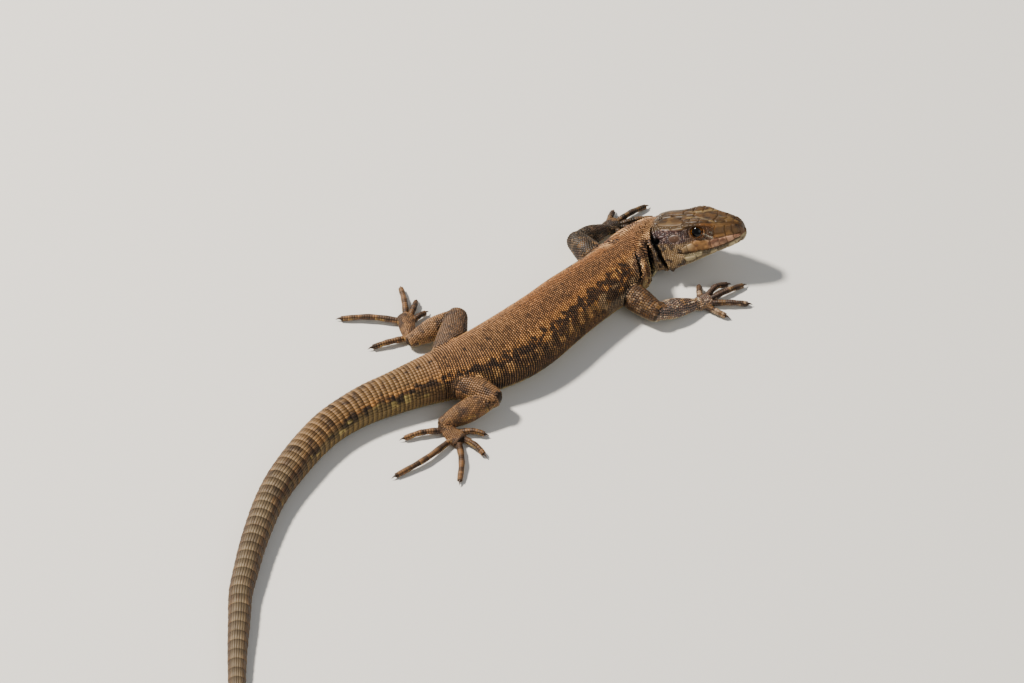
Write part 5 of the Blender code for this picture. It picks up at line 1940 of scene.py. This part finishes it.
def digit_coat():
    """Bands of plates round the digits: one above, one on each side and one below."""
    coat = Coat()
    shape, _, shade = DIGIT_PLATE
    for (limb, part), tube in TUBES.items():
        if not part.startswith("digit"):
            continue
        seed = 500 + 20 * list(LIMBS).index(limb) + int(part[-1]) - 1
        n = int(round(tube["long"] / 0.43))
        centre = (np.arange(n) + 0.5) * tube["long"] / n
        for middle, half in DIGIT_SIDES:
            root = tube_points(tube, centre, middle)[0]
            keep = snapped(root)[2] > -0.16
            if not keep.any():
                continue
            root, at = root[keep], centre[keep]
            n_kept = len(at)
            t = np.clip(at[:, None] + shape[:, 0] * 0.56 * tube["long"] / n, 0, tube["long"] - 0.06)
            points, normal, _ = tube_points(tube, t, middle + shape[:, 1] * half)
            points = points + normal * np.tile(shape[:, 2] * 0.085, n_kept)[:, None]
            share, angle = at / tube["long"], np.full(n_kept, middle)
            tint = limb_paint(limb, part, share, angle, root) * jitter(n_kept, seed, 0.7, 1.35)
            uv = limb_uv(limb, part, share, angle)[:, None, :] + shape[:, :2] * PATCH
            faces = copied_faces(DIGIT_PLATE, n_kept)[:, ::-1]
            coat.add(points, faces, tint[:, None, :] * shade[:, None], uv)
    return coat


def shield_coat():
    """All shields of the head."""
    coat = Coat()
    for number, (name, polygon) in enumerate(POLYGONS):
        shield(coat, name, polygon, number)
    return coat


def lay_granules(coat):
    """Rows of granules on the head and nape where there are no shields, eyes, ears or lips' edges."""
    runs = []
    for start, end, step, count, inner in ((8.6, 16.2, 0.3, 46, 0.6), (1.2, 8.6, 0.28, 34, 1.15)):
        for i, a in enumerate(np.arange(start, end, step)):
            runs += [ring_of(a, count, 0.5 * (i % 2), sign * inner, sign * 5.0) for sign in (1, -1)]
    runs += [ring_of(a, 12, 0.5 * (i % 2), -0.6, 0.6) for i, a in enumerate(np.arange(13.4, 15.8, 0.3))]
    at, rail, wide = np.concatenate(runs, axis=1)
    free = np.ones(len(at), bool)
    for _, polygon in POLYGONS:
        for step_at, step_rail in ((0.0, 0.0), (0.1, 0.0), (-0.1, 0.0), (0.0, 0.045), (0.0, -0.045)):
            free &= ~inside_polygon(at + step_at, rail + step_rail, polygon)
    points = surface(at, rail)[0]
    for centre, axis, _, _ in EYES.values():
        out = (points - centre) @ axis
        off = np.linalg.norm(points - centre - out[:, None] * axis, axis=1)
        free &= ~((out > 0) & (off < 1.68))
    free &= np.hypot((at - EAR[0]) / 0.5, (np.abs(rail) - EAR[1]) / 0.36) > 1.0
    line = np.interp(at, MOUTH_AT, MOUTH_RAIL)
    free &= ~((np.abs(np.abs(rail) - line) < 0.05) & (at < MOUTH_AT[-1]))
    lay_on_body(coat, at[free], rail[free], 0.27, np.minimum(wide, 0.34)[free], 0.09, 600)


def lay_throat(coat):
    """Throat and neck where they rest on the floor: an even lattice of thin scales."""
    sole = (SKIN_AT < GULAR_END) & (SKIN_POINTS[:, 2] < 0.07)
    low, high = SKIN_POINTS[sole, :2].min(axis=0), SKIN_POINTS[sole, :2].max(axis=0)
    x, y = np.meshgrid(np.arange(low[0], high[0], 0.34), np.arange(low[1], high[1], 0.3))
    x = x + 0.17 * (np.arange(len(x)) % 2)[:, None]
    guess = np.stack([x.ravel(), y.ravel(), np.full(x.size, 0.05)], axis=1)
    place, normal, _, _ = snapped(guess)
    keep = (np.linalg.norm(place - guess, axis=1) < 0.07) & (normal[:, 2] < -0.9)
    place, normal = place[keep], normal[keep]
    at, rail = nearest_body(place)
    keep = at < GULAR_END
    for _, polygon in POLYGONS:
        keep &= ~inside_polygon(at, rail, polygon)
    place, normal, at, rail = (a[keep] for a in (place, normal, at, rail))
    tint = paint(at, rail, place) * speckled(len(at), 640, 0.86, 1.12)
    lay(coat, BEAD, place, normal, normals(at, rail)[1], 0.32, 0.3, THIN, tint, body_uv(at, rail))


# Rings of scales round each eye, the first along the lids' rim: radius, number, length and warm tone.
LID_RINGS = (
    (1.24, 26, 0.26, rgb(150, 102, 56), 0.7),
    (1.48, 28, 0.3, rgb(96, 72, 50), 0.5),
    (1.74, 30, 0.33, rgb(96, 72, 50), 0.5),
)


def lay_lids(coat):
    """Three rings of small scales round each eye."""
    for centre, axis, level, rise in EYES.values():
        for number, (radius, n, long, glow, share) in enumerate(LID_RINGS, 1):
            turn = (np.arange(n) + 0.5 * (number % 2)) * TURN / n
            flat = OPEN_LONG * radius * np.cos(turn)[:, None] * level
            flat = flat + OPEN_HIGH * radius * np.sin(turn)[:, None] * rise
            out = math.sqrt(max(LID_RADIUS**2 - radius**2, 0.3))
            place, normal, _, _ = snapped(centre + flat + out * axis)
            at, rail = nearest_body(place)
            tint = mix(head_paint(at, rail, place), glow, share) * jitter(n, 700 + number)
            wide = TURN * radius / n * 1.02
            lay(coat, BEAD_FIVE, place, normal, unit(flat), long, wide, 0.085, tint, body_uv(at, rail))


def granule_coat():
    """Granules of head, throat and lids."""
    coat = Coat()
    lay_granules(coat)
    lay_throat(coat)
    lay_lids(coat)
    return coat


TRUNK_FRONT, TRUNK_REAR = trunk_coats()
BELLY_COAT, TAIL_COAT = belly_coat(), tail_coat()
LIMB_COAT, FOREARM_COAT = limb_coats()
TRUNK_FRONT.make("coat_trunk_1", SCALE_FINISH, "body_skin")
TRUNK_REAR.make("coat_trunk_2", SCALE_FINISH, "body_skin")
BELLY_COAT.make("coat_belly", SCALE_FINISH, "body_skin")
TAIL_COAT.make("coat_tail", TAIL_FINISH, "tail_skin")
LIMB_COAT.make("coat_limbs", SCALE_FINISH, "limb_skin")
FOREARM_COAT.make("coat_forearm", GLINT_FINISH, "limb_skin")
digit_coat().make("coat_digits", SCALE_FINISH, "limb_skin")
shield_coat().make("coat_head_shields", SHIELD_FINISH, "head_skin")
granule_coat().make("coat_head_granules", GLINT_FINISH, "head_skin")


# ---------------------------------------------------------------- eyes and claws
def eyeball(name, centre, axis, level, place):
    """An eye that stands out a little in the middle, with dark pupil, golden ring and brown iris."""
    polar = np.radians(np.concatenate([np.arange(0, 66, 1.5), np.arange(66, 181, 6.0)]))
    p, t = (a.ravel() for a in np.meshgrid(polar, np.arange(64) * TURN / 64, indexing="ij"))
    ring = p * EYE_RADIUS
    radius = EYE_RADIUS + 0.05 * np.exp(-((ring / 0.85) ** 4))
    axes = (axis, level, np.cross(axis, level))
    parts = zip((np.cos(p), np.sin(p) * np.cos(t), np.sin(p) * np.sin(t)), axes)
    points = centre + sum((radius * part)[:, None] * direction for part, direction in parts)
    rays = noise(np.stack([np.cos(t) * 4, np.sin(t) * 4, ring], axis=1), 0.5, 81)
    colour = mix(rgb(58, 34, 20), rgb(128, 74, 34), rays)
    colour = mix(rgb(30, 18, 12), colour, ease((ring - 0.86) / 0.06))
    gold = rgb(170, 112, 62) * (0.1 + 1.1 * rays**2)[:, None]
    colour = mix(colour, gold, band(ring, 0.9 + 0.05 * rays, 1.04, 0.05))
    colour = mix(rgb(4, 3, 3), colour, ease((ring - 0.82) / 0.05))
    colour = mix(colour, rgb(34, 22, 16), ease((ring - 1.1) / 0.08))
    tris = facing_out(points - centre, grid_tris(len(polar), 64, True))
    uv = (np.stack([t / TURN, p / math.pi], axis=1) * 0.02 + place)[tris.ravel()]
    finished("eyeball_" + name, points, tris, colour, uv, EYE_FINISH, ["eye_" + name])


def claw(tube):
    """A hooked claw at a digit's end: points and triangles."""
    base, ahead, side, up, _, _ = (v[0] for v in tube_frame(tube, np.array([tube["long"]])))
    s = np.linspace(0, 1, 12)
    hook = 0.05 + 0.16 * np.sin(2.2 * s) - 0.34 * s**1.8
    line = base + ahead * (s * (CLAW_LENGTH - 0.12) - 0.1)[:, None] + up * hook[:, None]
    line[:, 2] = np.maximum(line[:, 2], 0.1)
    thick = (0.25 * (1 - s) ** 0.75 + 0.025)[:, None]
    turn = np.arange(12) * TURN / 12
    rings = line[:, None, :] + (thick * 0.62 * np.cos(turn))[:, :, None] * side
    rings = rings + (thick * np.sin(turn))[:, :, None] * up
    points, tris = capped(rings, (ahead, ahead), 0.03)
    points[:, 2] = np.maximum(points[:, 2], 0.01)
    return points, tris


def claws(limb):
    """The five claws of a limb as one piece."""
    points, tris = joined(claw(TUBES[limb, "digit_%d" % (i + 1)]) for i in range(5))
    uv = (0.01, 0.41) + (0.02, 0.01) * (points[tris.ravel(), :2] % 1.0)
    colours = np.ones((len(points), 1)) * HORN
    finished("claws_" + limb, points, tris, colours, uv, CLAW_FINISH)


for name, place in (("left", (0.96, 0.01)), ("right", (0.93, 0.01))):
    eyeball(name, *EYES[name][:3], place)
for limb in LIMBS:
    claws(limb)


# ---------------------------------------------------------------- floor, light and camera
def stage_floor():
    """A pale round floor under the animal, 4 m in radius."""
    mesh = bpy.data.meshes.new("floor")
    rim = [(4.0 * math.cos(t), 4.0 * math.sin(t), 0.0) for t in np.arange(96) * TURN / 96]
    mesh.from_pydata(rim, [], [tuple(range(96))])
    pale = bpy.data.materials.new("pale_floor")
    pale.use_nodes = True
    pale.node_tree.nodes["Principled BSDF"].inputs["Base Color"].default_value = (0.72, 0.69, 0.64, 1)
    pale.node_tree.nodes["Principled BSDF"].inputs["Roughness"].default_value = 0.8
    mesh.materials.append(pale)
    obj = bpy.data.objects.new("floor", mesh)
    bpy.context.scene.collection.objects.link(obj)
    return obj


floor = stage_floor()

world = bpy.data.worlds.new("studio")
bpy.context.scene.world = world
world.use_nodes = True
world.node_tree.nodes["Background"].inputs["Color"].default_value = (0.86, 0.89, 0.93, 1)
world.node_tree.nodes["Background"].inputs["Strength"].default_value = 0.34

# The camera's own directions, and the direction on the floor that it looks in.
RIGHT = np.array((0.7826, -0.6225, 0.0))
BACK_AXIS = np.array((-0.4402, -0.5534, 0.7071))
UP_AXIS = np.array((0.4402, 0.5534, 0.7071))
AWAY = np.array((0.6225, 0.7826, 0.0))


def placed(name, data, axes, place):
    """Links a light or the camera, with its axes as columns, at a place in metres."""
    obj = bpy.data.objects.new(name, data)
    bpy.context.scene.collection.objects.link(obj)
    matrix = np.eye(4)
    matrix[:3, :3] = np.stack(axes, axis=1)
    matrix[:3, 3] = place
    obj.matrix_world = Matrix(matrix.tolist())
    return obj


def soft_light(name, toward, distance, size, power, colour):
    """A round soft light that stands off the model in the direction toward, facing it."""
    light = bpy.data.lights.new(name, "AREA")
    light.shape = "DISK"
    light.size = size
    light.energy = power
    light.color = colour
    toward = unit(toward)
    level = unit(np.cross((0, 0, 1), toward))
    placed(name, light, (level, np.cross(toward, level), toward), toward * distance + (0.0, 0.0, 0.005))


KEY_SIDE = -0.72 * RIGHT + 0.3 * AWAY + np.array((0, 0, 1.05))
FILL_SIDE = 0.7 * RIGHT - 0.8 * AWAY + np.array((0, 0, 0.9))
soft_light("key", KEY_SIDE, 1.1, 0.14, 30.0, (1.0, 0.95, 0.87))
soft_light("fill", FILL_SIDE, 1.3, 0.9, 4.0, (0.9, 0.95, 1.0))

# The camera stands this far off a point beside the trunk, at half its height.
DISTANCE = 959.3
AIM = np.array((0.0, 0.0, 5.0)) - 3.0353 * RIGHT - 1.0961 * UP_AXIS
lens = bpy.data.cameras.new("camera")
lens.lens = 200.0
lens.sensor_width = 36.0
lens.clip_start = 0.05
lens.clip_end = 20.0
camera = placed("camera", lens, (RIGHT, UP_AXIS, BACK_AXIS), (AIM + DISTANCE * BACK_AXIS + SHIFT) * MM)
bpy.context.scene.camera = camera
